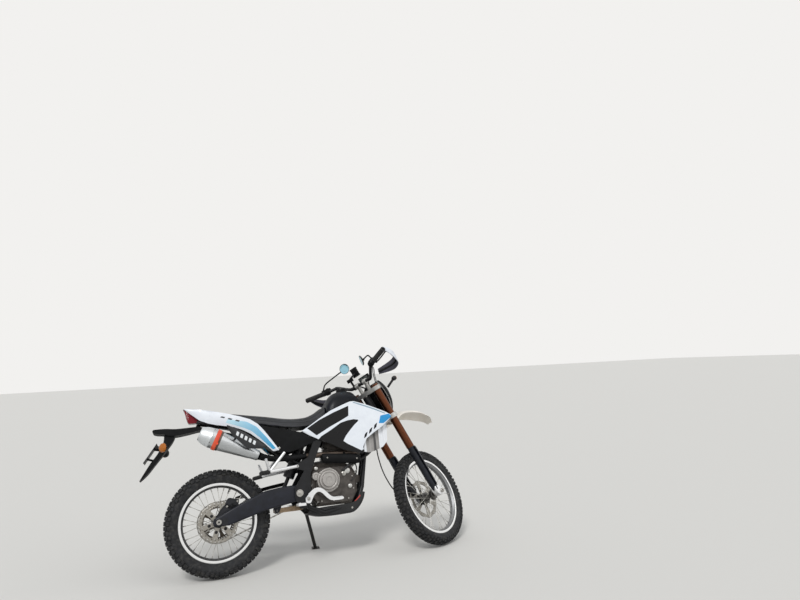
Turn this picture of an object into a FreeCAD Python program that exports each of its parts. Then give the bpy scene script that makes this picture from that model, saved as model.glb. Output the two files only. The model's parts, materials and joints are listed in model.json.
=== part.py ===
"""A dual sport motorcycle standing on its side stand with the steering at its left stop.

Every piece is drawn on the upright machine: x forward from the rear axle, y to the left, z up from the ground.
Pieces of the steering are drawn in the steering frame: z up the steering axis, x square to it and forward.
Pieces of a wheel are drawn about the wheel's centre. The poses at the end lean, pitch and steer them.
"""
import FreeCAD
import Part

import math
import os
import re

import Sketcher

App = FreeCAD
V = App.Vector
doc = App.newDocument("Motorcycle")

# Driving sizes, in millimetres and degrees: word, value, meaning
SIZES = [
    ("wheelbase", 1400, "between the axles on the upright machine"),
    ("rake", 26, "steering axis back from the vertical"),
    ("trail", 105, "steering axis ahead of the front contact point"),
    ("lean", 13, "lean to the left on the side stand"),
    ("steer_lock", 33, "steering stop each side"),
    ("seat_gap", 0.3, "gap between pieces that seat on each other"),
    ("swing_gap", 2, "gap round what turns"),
    # wheels
    ("rear_tyre_r", 313, "rear tyre to the lug tips"),
    ("rear_tyre_half", 54, "half width of the rear tyre"),
    ("rear_rim_r", "=rear_tyre_r - 83", "rear rim flange"),
    ("rear_rim_half", 33, "half width of the rear rim"),
    ("front_tyre_r", 321, "front tyre to the lug tips"),
    ("front_tyre_half", 43, "half width of the front tyre"),
    ("front_rim_r", "=front_tyre_r - 66", "front rim flange"),
    ("front_rim_half", 25, "half width of the front rim"),
    ("rim_wall", 4, "wall of both rims"),
    ("bead_drop", 12, "rim flange down to the bead seat"),
    ("well_drop", 24, "rim flange down to the well floor"),
    ("lug_height", 10, "tread lugs above the carcass"),
    ("lug_rows", 18, "rows of middle lugs round a tyre, with side lugs between them"),
    ("lug_length", 24, "along a lug"),
    ("spoke_r", 2, "spoke"),
    ("spoke_count", 32, "spokes in a wheel"),
    ("hub_r", 24, "hub barrel"),
    ("hub_flange_r", 38, "spoke flange"),
    ("rear_hub_half", 64, "half width of the rear hub"),
    ("front_hub_half", 52, "half width of the front hub"),
    ("axle_r", 9, "both axles"),
    ("axle_bore_r", 5.5, "hollow through both axles"),
    ("disc_thick", 4, "brake discs"),
    ("rear_disc_r", 120, "rear disc"),
    ("front_disc_r", 130, "front disc"),
    ("disc_band", 26, "width of the braking band"),
    ("sprocket_r", 113, "rear sprocket to the tooth tips"),
    ("sprocket_thick", 7, "rear sprocket"),
    ("drive_r", 31, "gearbox sprocket to the tooth tips"),
    ("chain_depth", 11, "height of the chain"),
    ("chain_width", 15, "across the chain"),
    ("chain_links", 36, "raised links round the chain"),
    ("chain_core", 3, "chain's core in from its links"),
    # swingarm and frame
    ("pivot_x", 485, "swingarm pivot"),
    ("pivot_z", 428, "swingarm pivot"),
    ("pivot_r", 24, "swingarm pivot tube"),
    ("pivot_bolt_r", 10, "swingarm pivot bolt"),
    ("arm_front_in", 79, "inner face of the arms at the pivot"),
    ("arm_rear_in", 90, "inner face of the arms at the axle"),
    ("arm_width", 30, "across one arm"),
    ("plate_in", 113, "inner face of the pivot plates"),
    ("plate_thick", 14, "pivot plates"),
    ("drive_x", 572, "gearbox sprocket"),
    ("drive_z", 431, "gearbox sprocket"),
    ("head_low", 957, "lower end of the steering head up the steering axis"),
    ("head_high", 1137, "upper end of the steering head"),
    ("head_r", 27, "steering head"),
    ("stem_r", 15, "steering stem"),
    ("eye_half", 16, "half width of the shock's eyes"),
    ("eye_r", 14, "shock's eyes and the link's ends"),
    ("eye_pin_r", 6, "pins through the shock and link"),
    ("link_half", 30, "half width over the shock link"),
    ("link_bar_r", 9, "frame bar that carries the link"),
    ("spine_r", 22, "backbone"),
    ("cradle_r", 14, "cradle tubes"),
    ("rail_r", 11, "subframe tubes"),
    ("rail_y", 84, "subframe tubes out from the middle"),
    # engine
    ("engine_half", 72, "half width of the crankcase"),
    ("cover_face", 128, "outer face of the right case cover"),
    ("clutch_x", 668, "clutch cover centre"),
    ("clutch_z", 488, "clutch cover centre"),
    ("clutch_r", 74, "clutch cover"),
    ("header_r", 18, "exhaust header"),
    ("header_y", 89, "exhaust header out from the middle beside the cylinder"),
    # steering
    ("leg_x", 20, "fork legs ahead of the steering axis"),
    ("leg_y", 98, "fork legs out from the middle"),
    ("fork_tube_r", 27, "upper fork tubes"),
    ("slider_r", 21, "lower fork tubes"),
    ("fork_top", 1185, "top of the fork tubes"),
    ("fork_split", 690, "lower end of the upper tubes"),
    ("clamp_low", 920, "underside of the lower clamp"),
    ("clamp_high", 1142, "underside of the upper clamp"),
    ("clamp_thick", 32, "lower clamp"),
    ("lamp_r", 61, "headlight"),
    ("bar_r", 11, "handlebar"),
    ("bar_z", 1236, "handlebar centre at its clamps"),
    ("bar_x", 30, "handlebar centre at its clamps"),
    ("grip_r", 17, "grips"),
    ("bar_half", 392, "half length of the handlebar"),
    ("bar_end_r", 7, "bore in the bar's ends"),
    # side stand
    ("stand_x", 560, "side stand pivot"),
    ("stand_y", 152, "side stand pivot"),
    ("stand_z", 322, "side stand pivot"),
    ("stand_r", 11, "side stand leg"),
    ("stand_pin_r", 6, "side stand pivot pin"),
    ("foot_x", 640, "side stand foot"),
    ("foot_y", 310, "side stand foot"),
    ("foot_half", 24, "half length of the foot"),
    ("foot_thick", 9, "foot plate"),
]

sheet = doc.addObject("Spreadsheet::Sheet", "Sizes")
for row, (word, value, meaning) in enumerate(SIZES, start=1):
    sheet.set("A%d" % row, meaning)
    sheet.set("B%d" % row, str(value))
    sheet.setAlias("B%d" % row, word)
doc.recompute()
WORDS = {word for word, _, _ in SIZES}


class Sizes:
    """Reads one cell of the sheet by its word."""

    def __getattr__(self, word):
        return float(sheet.get(word))


s = Sizes()
pieces = {}


def cells(text):
    """Puts the sheet's name before each of its words in an expression."""
    return re.sub(r"[a-z_]+", lambda m: "Sizes." + m.group() if m.group() in WORDS else m.group(), str(text))


def num(text):
    """The number that an expression over the sheet gives."""
    return float(sheet.evalExpression(cells(text)))


def put(obj, frame):
    """Names a finished piece and the frame that carries it."""
    pieces[obj.Label] = (obj, frame)
    return obj


def feature(name, shape, frame="upright"):
    """A piece whose shape comes from Part's own functions."""
    obj = doc.addObject("Part::Feature", name)
    obj.Shape = shape
    return put(obj, frame)


def cylinder(name, radius, length, base, along=(0, 1, 0)):
    """A cylinder from its base point along a direction, its sizes bound to the sheet."""
    obj = doc.addObject("Part::Cylinder", name)
    obj.setExpression("Radius", cells(radius))
    obj.setExpression("Height", cells(length))
    point = V(*[num(value) for value in base])
    obj.Placement = App.Placement(point, App.Rotation(V(0, 0, 1), V(*along)))
    return obj


def sketch_points(sketch, points):
    """Draws a closed outline whose every corner is bound to the sheet."""
    values = [(num(a), num(b)) for a, b in points]
    count = len(values)
    for i in range(count):
        first = V(values[i][0], values[i][1], 0)
        second = V(values[(i + 1) % count][0], values[(i + 1) % count][1], 0)
        sketch.addGeometry(Part.LineSegment(first, second), False)
    for i in range(count):
        sketch.addConstraint(Sketcher.Constraint("Coincident", i, 2, (i + 1) % count, 1))
    for i, (a, b) in enumerate(points):
        for kind, text, value in (("DistanceX", a, values[i][0]), ("DistanceY", b, values[i][1])):
            index = sketch.addConstraint(Sketcher.Constraint(kind, -1, 1, i, 1, value))
            sketch.setExpression("Constraints[%d]" % index, cells(text))


def plane(body, role):
    """One of a body's own origin planes or axes."""
    return [item for item in body.Origin.OriginFeatures if item.Role == role][0]


def outline(body, name, role, points, offset="0"):
    """A sketch of a closed outline on one of the body's origin planes."""
    sketch = body.newObject("Sketcher::SketchObject", name)
    sketch.AttachmentSupport = [(plane(body, role), "")]
    sketch.MapMode = "FlatFace"
    sketch.setExpression(".AttachmentOffset.Base.z", cells(offset))
    sketch_points(sketch, points)
    return sketch


def turned(name, points, frame):
    """A body turned about y: each point is a radius and a place along y."""
    body = doc.addObject("PartDesign::Body", name)
    sketch = outline(body, name + "_section", "XY_Plane", points)
    turn = body.newObject("PartDesign::Revolution", name + "_turn")
    turn.Profile = sketch
    turn.ReferenceAxis = (plane(body, "Y_Axis"), [""])
    turn.Angle = 360
    doc.recompute()
    return put(body, frame)


def wire(points):
    """A closed wire through points."""
    return Part.makePolygon([V(*p) for p in points] + [V(*points[0])])


def side_slab(points, y_from, y_to):
    """An outline in x and z, made solid from one y to another."""
    face = Part.Face(wire([(x, y_from, z) for x, z in points]))
    return face.extrude(V(0, y_to - y_from, 0))


def plan_slab(points, z_from, z_to):
    """An outline in x and y, made solid from one z to another."""
    face = Part.Face(wire([(x, y, z_from) for x, y in points]))
    return face.extrude(V(0, 0, z_to - z_from))


def rod(start, end, radius):
    """A round rod between two points."""
    start = V(*start)
    end = V(*end)
    return Part.makeCylinder(radius, (end - start).Length, start, end - start)


def tube_run(points, radius):
    """Straight rods through points with a ball at each corner, as one solid."""
    rods = [rod(a, b, radius) for a, b in zip(points, points[1:])]
    balls = [Part.makeSphere(radius, V(*p)) for p in points[1:-1]]
    return rods[0].multiFuse(rods[1:] + balls) if len(rods) > 1 else rods[0]


def bent_tube(points, radius):
    """A tube along straight runs joined by tangent arcs as large as the runs allow."""
    points = [V(*p) for p in points]
    edges = []
    last = points[0]
    for before, corner, after in zip(points, points[1:], points[2:]):
        way_in = (corner - before).normalize()
        way_out = (after - corner).normalize()
        half_turn = way_in.getAngle(way_out) / 2
        reach = 0.45 * min((corner - before).Length, (after - corner).Length)
        start, end = corner - way_in * reach, corner + way_out * reach
        bend = reach / math.tan(half_turn)
        inward = (way_out - way_in).normalize()
        middle = corner + inward * (math.hypot(bend, reach) - bend)
        edges.append(Part.LineSegment(last, start).toShape())
        edges.append(Part.Arc(start, middle, end).toShape())
        last = end
    edges.append(Part.LineSegment(last, points[-1]).toShape())
    ring = Part.Wire([Part.Circle(points[0], points[1] - points[0], radius).toShape()])
    return Part.Wire(edges).makePipeShell([ring], True, True)


def both_sides(shape):
    """A shape and its mirror image across the middle plane."""
    return [shape, shape.mirror(V(0, 0, 0), V(0, 1, 0))]


def mirrored(points):
    """Points on the other side of the middle plane."""
    return [(x, -y, z) for x, y, z in points]


def joined(shapes):
    """One solid out of shapes that meet."""
    return shapes[0].multiFuse(shapes[1:]).removeSplitter()


def loft(sections):
    """A solid with straight sides through closed outlines of as many corners."""
    return Part.makeLoft([wire(points) for points in sections], True, True)


# The steering frame
RAKE = math.radians(s.rake)
ground_x = s.wheelbase + s.trail
AXLE_X = -s.trail * math.cos(RAKE) + s.front_tyre_r * math.sin(RAKE)
AXLE_Z = s.trail * math.sin(RAKE) + s.front_tyre_r * math.cos(RAKE)


def turn(axis_way, degrees, point=(0, 0, 0)):
    """A rotation about an axis through a point."""
    rotation = App.Rotation(V(*axis_way), degrees)
    return App.Placement(V(*point) - rotation.multVec(V(*point)), rotation)


to_steering = App.Placement(V(ground_x, 0, 0), App.Rotation(V(0, 1, 0), -s.rake))
steered = to_steering.multiply(turn((0, 0, 1), s.steer_lock))
leaned = turn((1, 0, 0), -s.lean)


def upright(x, y, z):
    """A point of the steering frame, steering straight, on the upright machine."""
    return (ground_x + x * math.cos(RAKE) - z * math.sin(RAKE), y, x * math.sin(RAKE) + z * math.cos(RAKE))


# Wheels
def rim_profile(side):
    r, half = side + "_rim_r", side + "_rim_half"
    return [(r, "-" + half), (r, "-%s + rim_wall" % half), (r + " - bead_drop", "-%s + rim_wall" % half),
            (r + " - well_drop", "-%s * 0.4" % half), (r + " - well_drop", half + " * 0.4"),
            (r + " - bead_drop", half + " - rim_wall"), (r, half + " - rim_wall"), (r, half),
            (r + " - bead_drop - rim_wall", half), (r + " - well_drop - rim_wall", half + " * 0.5"),
            (r + " - well_drop - rim_wall", "-%s * 0.5" % half), (r + " - bead_drop - rim_wall", "-" + half)]


def tyre_profile(side):
    """Half the tyre's section, as radius and place along y, from the bead to the crown."""
    rim, rim_half = side + "_rim_r", side + "_rim_half"
    tyre, half = side + "_tyre_r", side + "_tyre_half"
    flank = [(rim + " + seat_gap", rim_half + " - rim_wall"),
             ("(%s + %s) / 2 - 4" % (rim, tyre), half + " - 4"),
             (tyre + " - lug_height * 2", half + " - 4"),
             (tyre + " - lug_height", half + " * 0.5")]
    return flank + [(r, "-(%s)" % y) for r, y in reversed(flank)]


def lug_outlines(tyre_r, half, lug):
    """Sections of the middle and side lugs, as radius and place along y; their outer corners are the tread's reach."""
    middle = [(tyre_r, half * 0.3), (tyre_r - lug - 3, half * 0.3), (tyre_r - lug - 3, -half * 0.3), (tyre_r, -half * 0.3)]
    side = [(tyre_r - lug * 0.2, half * 0.38), (tyre_r - lug * 0.6, half * 0.62), (tyre_r - lug * 2, half),
            (tyre_r - lug * 3, half - 2), (tyre_r - lug * 3, half - 10), (tyre_r - lug * 1.9, half * 0.38)]
    return middle, side


def lug_angle(row, pose):
    """The angle of a row of lugs in its wheel's frame: row 0 faces the ground."""
    down = pose.Rotation.inverted().multVec(V(0, 0, -1))
    return 2 * math.pi * row / s.lug_rows + math.atan2(down.z, down.x)


def carcass(side, pose):
    """A tyre's body in flats, one under each lug. The seat's flats touch its circle from outside."""
    flats = int(s.lug_rows) * 2
    grow = 1 / math.cos(math.pi / flats)
    ring = [(num(r), num(y)) for r, y in tyre_profile(side)]
    ring = [(r * grow if k in (0, len(ring) - 1) else r, y) for k, (r, y) in enumerate(ring)]
    angles = [lug_angle(k / 2 + 0.25, pose) for k in range(flats)]
    faces = []
    for (r, y), (r_next, y_next) in zip(ring, ring[1:] + ring[:1]):
        for a, b in zip(angles, angles[1:] + angles[:1]):
            faces.append(Part.Face(Part.makePolygon([
                V(r * math.cos(a), y, r * math.sin(a)), V(r_next * math.cos(a), y_next, r_next * math.sin(a)),
                V(r_next * math.cos(b), y_next, r_next * math.sin(b)), V(r * math.cos(b), y, r * math.sin(b)),
                V(r * math.cos(a), y, r * math.sin(a))])))
    solid = Part.Solid(Part.makeShell(faces))
    return solid if solid.Volume > 0 else solid.reversed()


def tread(tyre_r, half, pose):
    """Lugs round a tyre: a middle one in each row, and one on each shoulder between the rows."""
    middle, side = lug_outlines(tyre_r, half, s.lug_height)
    reach = s.lug_length / 2
    lugs = []
    for row in range(int(s.lug_rows)):
        for section, shift, hands in ((middle, 0.0, (1,)), (side, 0.5, (1, -1))):
            angle = lug_angle(row + shift, pose)
            out, along = V(math.cos(angle), 0, math.sin(angle)), V(-math.sin(angle), 0, math.cos(angle))
            for hand in hands:
                ring = [out * math.sqrt(r ** 2 - reach ** 2) + V(0, y * hand, 0) - along * reach for r, y in section]
                lugs.append(Part.Face(Part.makePolygon(ring + ring[:1])).extrude(along * (reach * 2)))
    return lugs


def hub_profile(side):
    half = side + "_hub_half"
    right = [("hub_flange_r - 6", half), ("hub_flange_r - 6", half + " - 10"), ("hub_r", half + " - 12"),
             ("hub_r", half + " - 16"), ("hub_flange_r", half + " - 17"), ("hub_flange_r", half + " - 22"),
             ("hub_r", half + " - 24")]
    mirror = [(r, "-(%s)" % y) for r, y in reversed(right)]
    return right + mirror + [("axle_r + seat_gap", "-" + half), ("axle_r + seat_gap", half)]


def spokes(rim_r, rim_half, hub_half):
    """Crossed spokes from the hub's flanges to the underside of the rim."""
    end_r = rim_r - s.well_drop - s.rim_wall - s.seat_gap
    rods = []
    count = int(s.spoke_count)
    for i in range(count):
        side = 1 if i % 2 else -1
        angle = 2 * math.pi * i / count
        lead = math.radians(38) * (1 if (i // 2) % 2 else -1)
        foot_r = s.hub_flange_r - 4
        foot = V(foot_r * math.cos(angle + lead), side * (hub_half - 19.5), foot_r * math.sin(angle + lead))
        head = V(end_r * math.cos(angle), side * rim_half * 0.2, end_r * math.sin(angle))
        head = head - (head - foot).normalize() * 0.3
        rods.append(rod(foot, head, s.spoke_r))
    return rods


def disc_plate(radius, inner, thick, y_mid, holes):
    """A brake disc with a waved edge, drilled, on spider arms."""
    ring = Part.makeCylinder(radius, thick, V(0, y_mid - thick / 2, 0), V(0, 1, 0))
    bites = []
    for i in range(holes):
        angle = 2 * math.pi * i / holes
        centre = V((radius + 5) * math.cos(angle), y_mid - thick / 2 - 1, (radius + 5) * math.sin(angle))
        bites.append(Part.makeCylinder(9, thick + 2, centre, V(0, 1, 0)))
    for i in range(6):
        angle = 2 * math.pi * (i + 0.5) / 6
        reach = (radius - s.disc_band + inner) / 2
        centre = V(reach * math.cos(angle), y_mid - thick / 2 - 1, reach * math.sin(angle))
        bites.append(Part.makeCylinder((radius - s.disc_band - inner) / 2 - 3, thick + 2, centre, V(0, 1, 0)))
    bites.append(Part.makeCylinder(inner - 14, thick + 2, V(0, y_mid - thick / 2 - 1, 0), V(0, 1, 0)))
    return ring.cut(Part.makeCompound(bites))


turned("rear_rim", rim_profile("rear"), "rear_wheel")
turned("front_rim", rim_profile("front"), "front_wheel")
TYRES = (
    ("rear", s.rear_tyre_r, s.rear_tyre_half, leaned),
    ("front", s.front_tyre_r, s.front_tyre_half, leaned.multiply(steered)),
)
for side, tyre_r, half, pose in TYRES:
    feature(side + "_tyre", carcass(side, pose).multiFuse(tread(tyre_r, half, pose)).removeSplitter(), side + "_wheel")
rear_hub_core = turned("rear_hub_core", hub_profile("rear"), "rear_wheel")
front_hub_core = turned("front_hub_core", hub_profile("front"), "front_wheel")
for side, core, rim_r, rim_half, hub_half in (
        ("rear", rear_hub_core, s.rear_rim_r, s.rear_rim_half, s.rear_hub_half),
        ("front", front_hub_core, s.front_rim_r, s.front_rim_half, s.front_hub_half)):
    feature(side + "_hub", core.Shape.multiFuse(spokes(rim_r, rim_half, hub_half)), side + "_wheel")
    del pieces[core.Label]
REAR_DISC_Y = -(s.rear_hub_half + s.seat_gap + s.disc_thick / 2)
FRONT_DISC_Y = s.front_hub_half + s.seat_gap + s.disc_thick / 2
SPROCKET_Y = s.rear_hub_half + s.seat_gap + s.sprocket_thick / 2
feature("rear_disc", disc_plate(s.rear_disc_r, s.hub_flange_r, s.disc_thick, REAR_DISC_Y, 10), "rear_wheel")
feature("front_disc", disc_plate(s.front_disc_r, s.hub_flange_r, s.disc_thick, FRONT_DISC_Y, 10), "front_wheel")
feature("rear_sprocket", disc_plate(s.sprocket_r + 4, s.hub_flange_r, s.sprocket_thick, SPROCKET_Y, 0)
        .common(Part.makeCylinder(s.sprocket_r, 40, V(0, SPROCKET_Y - 20, 0), V(0, 1, 0))), "rear_wheel")

# Swingarm, rear axle, chain
AXLE = (0, 0, s.rear_tyre_r)
arm_side = [(s.pivot_x + 34, s.pivot_z + 40), (s.pivot_x - 40, s.pivot_z + 52), (270, 462), (60, s.rear_tyre_r + 62),
            (-30, s.rear_tyre_r + 24), (-34, s.rear_tyre_r - 22), (60, s.rear_tyre_r - 24), (270, 348),
            (s.pivot_x - 60, s.pivot_z - 54), (s.pivot_x + 26, s.pivot_z - 36)]
arm_plan = [(s.pivot_x + 40, s.arm_front_in), (330, s.arm_front_in), (80, s.arm_rear_in), (-40, s.arm_rear_in),
            (-40, s.arm_rear_in + s.arm_width), (80, s.arm_rear_in + s.arm_width),
            (330, s.arm_front_in + s.arm_width), (s.pivot_x + 40, s.arm_front_in + s.arm_width)]
arm = side_slab(arm_side, 0, 200).common(plan_slab(arm_plan, 0, 700))
arm = arm.cut(rod((0, 0, s.rear_tyre_r), (0, 200, s.rear_tyre_r), s.axle_r + s.seat_gap))
bridge = side_slab([(395, 384), (345, 392), (345, 440), (400, 448)], -s.arm_front_in - 1, s.arm_front_in + 1)
shock_top, shock_low = V(548, 0, 764), V(405, 0, 470)
link_rear, link_front = V(350, 0, 340), V(505, 0, 342)
shock_ears = both_sides(side_slab([(368, 436), (396, 436), (421, 462), (421, 478), (405, 486), (389, 478)],
                                  s.eye_half + s.seat_gap, s.eye_half + 4))
link_ears = both_sides(side_slab([(352, 396), (392, 390), (366, 330), (350, 322), (336, 332), (336, 350)],
                                 s.link_half + s.seat_gap, s.link_half + 6))
shock_pin_low = rod((405, -s.eye_half - 4, 470), (405, s.eye_half + 4, 470), s.eye_pin_r)
link_pin = rod((350, -s.link_half - 6, 340), (350, s.link_half + 6, 340), s.eye_pin_r)
pivot_tube = rod((s.pivot_x, -s.arm_front_in - 1, s.pivot_z), (s.pivot_x, s.arm_front_in + 1, s.pivot_z), s.pivot_r)
pivot_room = rod((s.pivot_x, -200, s.pivot_z), (s.pivot_x, 200, s.pivot_z), s.pivot_bolt_r + s.seat_gap)

axle_half = s.arm_rear_in + s.arm_width + 14
axle_bar = rod((0, -axle_half, s.rear_tyre_r), (0, axle_half, s.rear_tyre_r), s.axle_r)
nuts = [rod((0, y, s.rear_tyre_r), (0, y + d, s.rear_tyre_r), 15) for y, d in
        ((s.arm_rear_in + s.arm_width + s.seat_gap, 10), (-s.arm_rear_in - s.arm_width - s.seat_gap, -10))]
spacers = [rod((0, y, s.rear_tyre_r), (0, d, s.rear_tyre_r), 15) for y, d in
           ((SPROCKET_Y + 12, s.arm_rear_in - s.seat_gap), (REAR_DISC_Y - 8, -s.arm_rear_in + s.seat_gap))]
bore = rod((0, -200, s.rear_tyre_r), (0, 200, s.rear_tyre_r), s.axle_bore_r)
feature("rear_axle", joined([axle_bar] + nuts + spacers).cut(bore))


def belt(r_front, r_rear, y_from, y_to):
    """The area inside a belt round both sprockets, made solid."""
    gap = math.hypot(s.drive_x, s.drive_z - s.rear_tyre_r)
    slope = math.atan2(s.drive_z - s.rear_tyre_r, s.drive_x)
    spread = math.acos((r_rear - r_front) / gap)
    points = []
    for radius, x, z in ((r_rear, 0, s.rear_tyre_r), (r_front, s.drive_x, s.drive_z)):
        for sign in (1, -1):
            points.append((x + radius * math.cos(slope + sign * spread), z + radius * math.sin(slope + sign * spread)))
    middle = side_slab([points[0], points[2], points[3], points[1]], y_from, y_to)
    ends = [rod((0, y_from, s.rear_tyre_r), (0, y_to, s.rear_tyre_r), r_rear),
            rod((s.drive_x, y_from, s.drive_z), (s.drive_x, y_to, s.drive_z), r_front)]
    return middle.multiFuse(ends).removeSplitter()


chain_from = SPROCKET_Y - s.chain_width / 2
chain_to = SPROCKET_Y + s.chain_width / 2
chain = belt(s.drive_r + s.swing_gap + s.chain_depth, s.sprocket_r + s.swing_gap + s.chain_depth, chain_from, chain_to)
chain = chain.cut(belt(s.drive_r + s.seat_gap, s.sprocket_r + s.swing_gap, chain_from - 1, chain_to + 1))
chain_hull = chain


def link_places(r_front, r_rear, count):
    """Evenly spaced points round the belt through the links' middles, each with its direction."""
    gap = math.hypot(s.drive_x, s.drive_z - s.rear_tyre_r)
    slope = math.atan2(s.drive_z - s.rear_tyre_r, s.drive_x)
    spread = math.acos((r_rear - r_front) / gap)
    run = gap * math.sin(spread)
    back, front = r_rear * (2 * math.pi - 2 * spread), r_front * 2 * spread
    places = []
    for index in range(count):
        at = (back + front + 2 * run) * index / count
        if at < back:
            turned_by = slope + spread + at / r_rear
            places.append((r_rear * math.cos(turned_by), s.rear_tyre_r + r_rear * math.sin(turned_by), turned_by + math.pi / 2))
        elif at < back + run:
            start = slope - spread
            way = start + math.pi / 2
            places.append((r_rear * math.cos(start) + (at - back) * math.cos(way),
                           s.rear_tyre_r + r_rear * math.sin(start) + (at - back) * math.sin(way), way))
        elif at < back + run + front:
            turned_by = slope - spread + (at - back - run) / r_front
            places.append((s.drive_x + r_front * math.cos(turned_by), s.drive_z + r_front * math.sin(turned_by),
                           turned_by + math.pi / 2))
        else:
            start = slope + spread
            way = start + math.pi / 2
            left = at - back - run - front
            places.append((s.drive_x + r_front * math.cos(start) + left * math.cos(way),
                           s.drive_z + r_front * math.sin(start) + left * math.sin(way), way))
    return places


depth_mid = s.chain_depth / 2
links = []
for x, z, way in link_places(s.drive_r + s.swing_gap + depth_mid, s.sprocket_r + s.swing_gap + depth_mid,
                             int(s.chain_links)):
    ends = V(math.cos(way), 0, math.sin(way)) * 13
    lift, drop = V(-math.sin(way), 0, math.cos(way)) * depth_mid, V(-math.sin(way), 0, math.cos(way)) * s.swing_gap
    middle = V(x, 0, z)
    corners = [middle + ends - lift - drop, middle + ends + lift + drop, middle - ends + lift + drop,
               middle - ends - lift - drop]
    links.append(side_slab([(p.x, p.z) for p in corners], chain_from, chain_to))
core = belt(s.drive_r + s.swing_gap + s.chain_depth - s.chain_core, s.sprocket_r + s.swing_gap + s.chain_depth - s.chain_core,
            chain_from + s.chain_core, chain_to - s.chain_core)
core = core.cut(belt(s.drive_r + s.swing_gap + s.chain_core, s.sprocket_r + s.swing_gap + s.chain_core, chain_from - 1, chain_to + 1))
feature("chain", core.multiFuse(links).common(chain_hull))
chain_room = belt(s.drive_r + s.swing_gap * 2 + s.chain_depth, s.sprocket_r + s.swing_gap * 2 + s.chain_depth,
                  chain_from - s.swing_gap, chain_to + s.swing_gap)
swingarm = joined(both_sides(arm) + [bridge, pivot_tube] + shock_ears + link_ears + [shock_pin_low, link_pin])
feature("swingarm", swingarm.cut(pivot_room).cut(chain_room))

# Frame
head_low = upright(0, 0, s.head_low)
head_high = upright(0, 0, s.head_high)
head = rod(head_low, head_high, s.head_r)
spine_start = upright(0, 0, s.head_low + 110)
spine = tube_run([spine_start, (900, 0, 905), (700, 0, 862), (612, 0, 800)], s.spine_r)
neck = upright(0, 0, s.head_low + 65)
down = tube_run([neck, (982, 0, 715)], s.cradle_r + 4)
plate_mid = s.plate_in + s.plate_thick / 2
cradle_points = [(984, 4, 720), (948, 30, 640), (906, 46, 430), (862, 60, 330), (640, 84, 296), (530, plate_mid, 344)]
cradles = [tube_run(cradle_points, s.cradle_r), tube_run(mirrored(cradle_points), s.cradle_r)]
hang_points = [(612, 0, 800), (620, s.plate_in - 2, 735)]
hangers = [tube_run(hang_points, s.cradle_r), tube_run(mirrored(hang_points), s.cradle_r)]
plate_side = [(652, 750), (596, 750), (548, 640), (462, 598), (462, 578), (520, 560), (s.pivot_x - 28, s.pivot_z + 30),
              (s.pivot_x - 30, s.pivot_z - 24), (480, 340), (545, 330), (556, 420), (560, 540), (600, 640)]
plates = both_sides(side_slab(plate_side, s.plate_in, s.plate_in + s.plate_thick))
pivot_bar = rod((s.pivot_x, -s.plate_in - 1, s.pivot_z), (s.pivot_x, s.plate_in + 1, s.pivot_z), s.pivot_bolt_r)
stem_room = rod(upright(0, 0, s.head_low - 10), upright(0, 0, s.head_high + 10), s.stem_r + s.seat_gap)
ears = side_slab([(530, 356), (584, 346), (588, 300), (552, 296), (520, 330)], s.plate_in + 1, s.stand_y - 19.8)
top_ears = both_sides(side_slab([(622, 806), (606, 776), (552, 750), (534, 760), (540, 778), (596, 820)],
                                s.eye_half + s.seat_gap, s.eye_half + 4))
shock_pin_top = rod((548, -s.eye_half - 4, 764), (548, s.eye_half + 4, 764), s.eye_pin_r)
link_bar = rod((505, -s.plate_in - 1, 342), (505, s.plate_in + 1, 342), s.link_bar_r)
frame = joined([head, spine, down] + cradles + hangers + plates + top_ears
               + [pivot_bar, shock_pin_top, link_bar, ears]).cut(stem_room)
frame_tubes = [tube_run(points, s.cradle_r + s.seat_gap) for points in
               (cradle_points, mirrored(cradle_points), hang_points, mirrored(hang_points))]
frame_room = Part.makeCompound(frame_tubes)

rail_top = [(596, s.rail_y, 768), (450, s.rail_y, 806), (100, 74, 884), (-110, 44, 918)]
rail_low = [(505, s.rail_y, 600), (178, 78, 862)]
rails = [tube_run(points, s.rail_r) for points in (rail_top, mirrored(rail_top), rail_low, mirrored(rail_low))]
loop = rod((-110, -50, 918), (-110, 50, 918), s.rail_r)
tie = rod((420, -s.rail_y, 812), (420, s.rail_y, 812), s.rail_r)
lug_y = s.plate_in - s.seat_gap
lugs = [rod((596, side * s.rail_y, 756), (596, side * lug_y, 756), 9) for side in (1, -1)]
lugs += [rod((508, side * s.rail_y, 597), (508, side * lug_y, 597), 9) for side in (1, -1)]
lugs += [rod((450, side * s.rail_y, 806), (450, side * s.rail_y, 837.2), 9) for side in (1, -1)]
lugs += [rod((100, side * 74, 884), (100, side * 74, 903.6), 9) for side in (1, -1)]
feature("subframe", joined(rails + [loop, tie] + lugs).cut(frame_room))

# Engine and its covers
case_side = [(548, 420), (600, 336), (820, 336), (866, 410), (864, 520), (836, 566), (760, 610), (604, 604), (548, 540)]
barrel_foot, barrel_way = V(720, 0, 572), V(0.2822, 0, 0.9594)
case = side_slab(case_side, -s.engine_half, s.engine_half)


def barrel_slab(low, high, front, rear, half):
    """A block square to the cylinder: its ends along the bore, its reach ahead and behind, and its half width."""
    square = V(barrel_way.z, 0, -barrel_way.x)
    corners = [barrel_foot + barrel_way * a + square * b for a, b in
               ((low, -rear), (low, front), (high, front), (high, -rear))]
    return side_slab([(p.x, p.z) for p in corners], -half, half)


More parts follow.
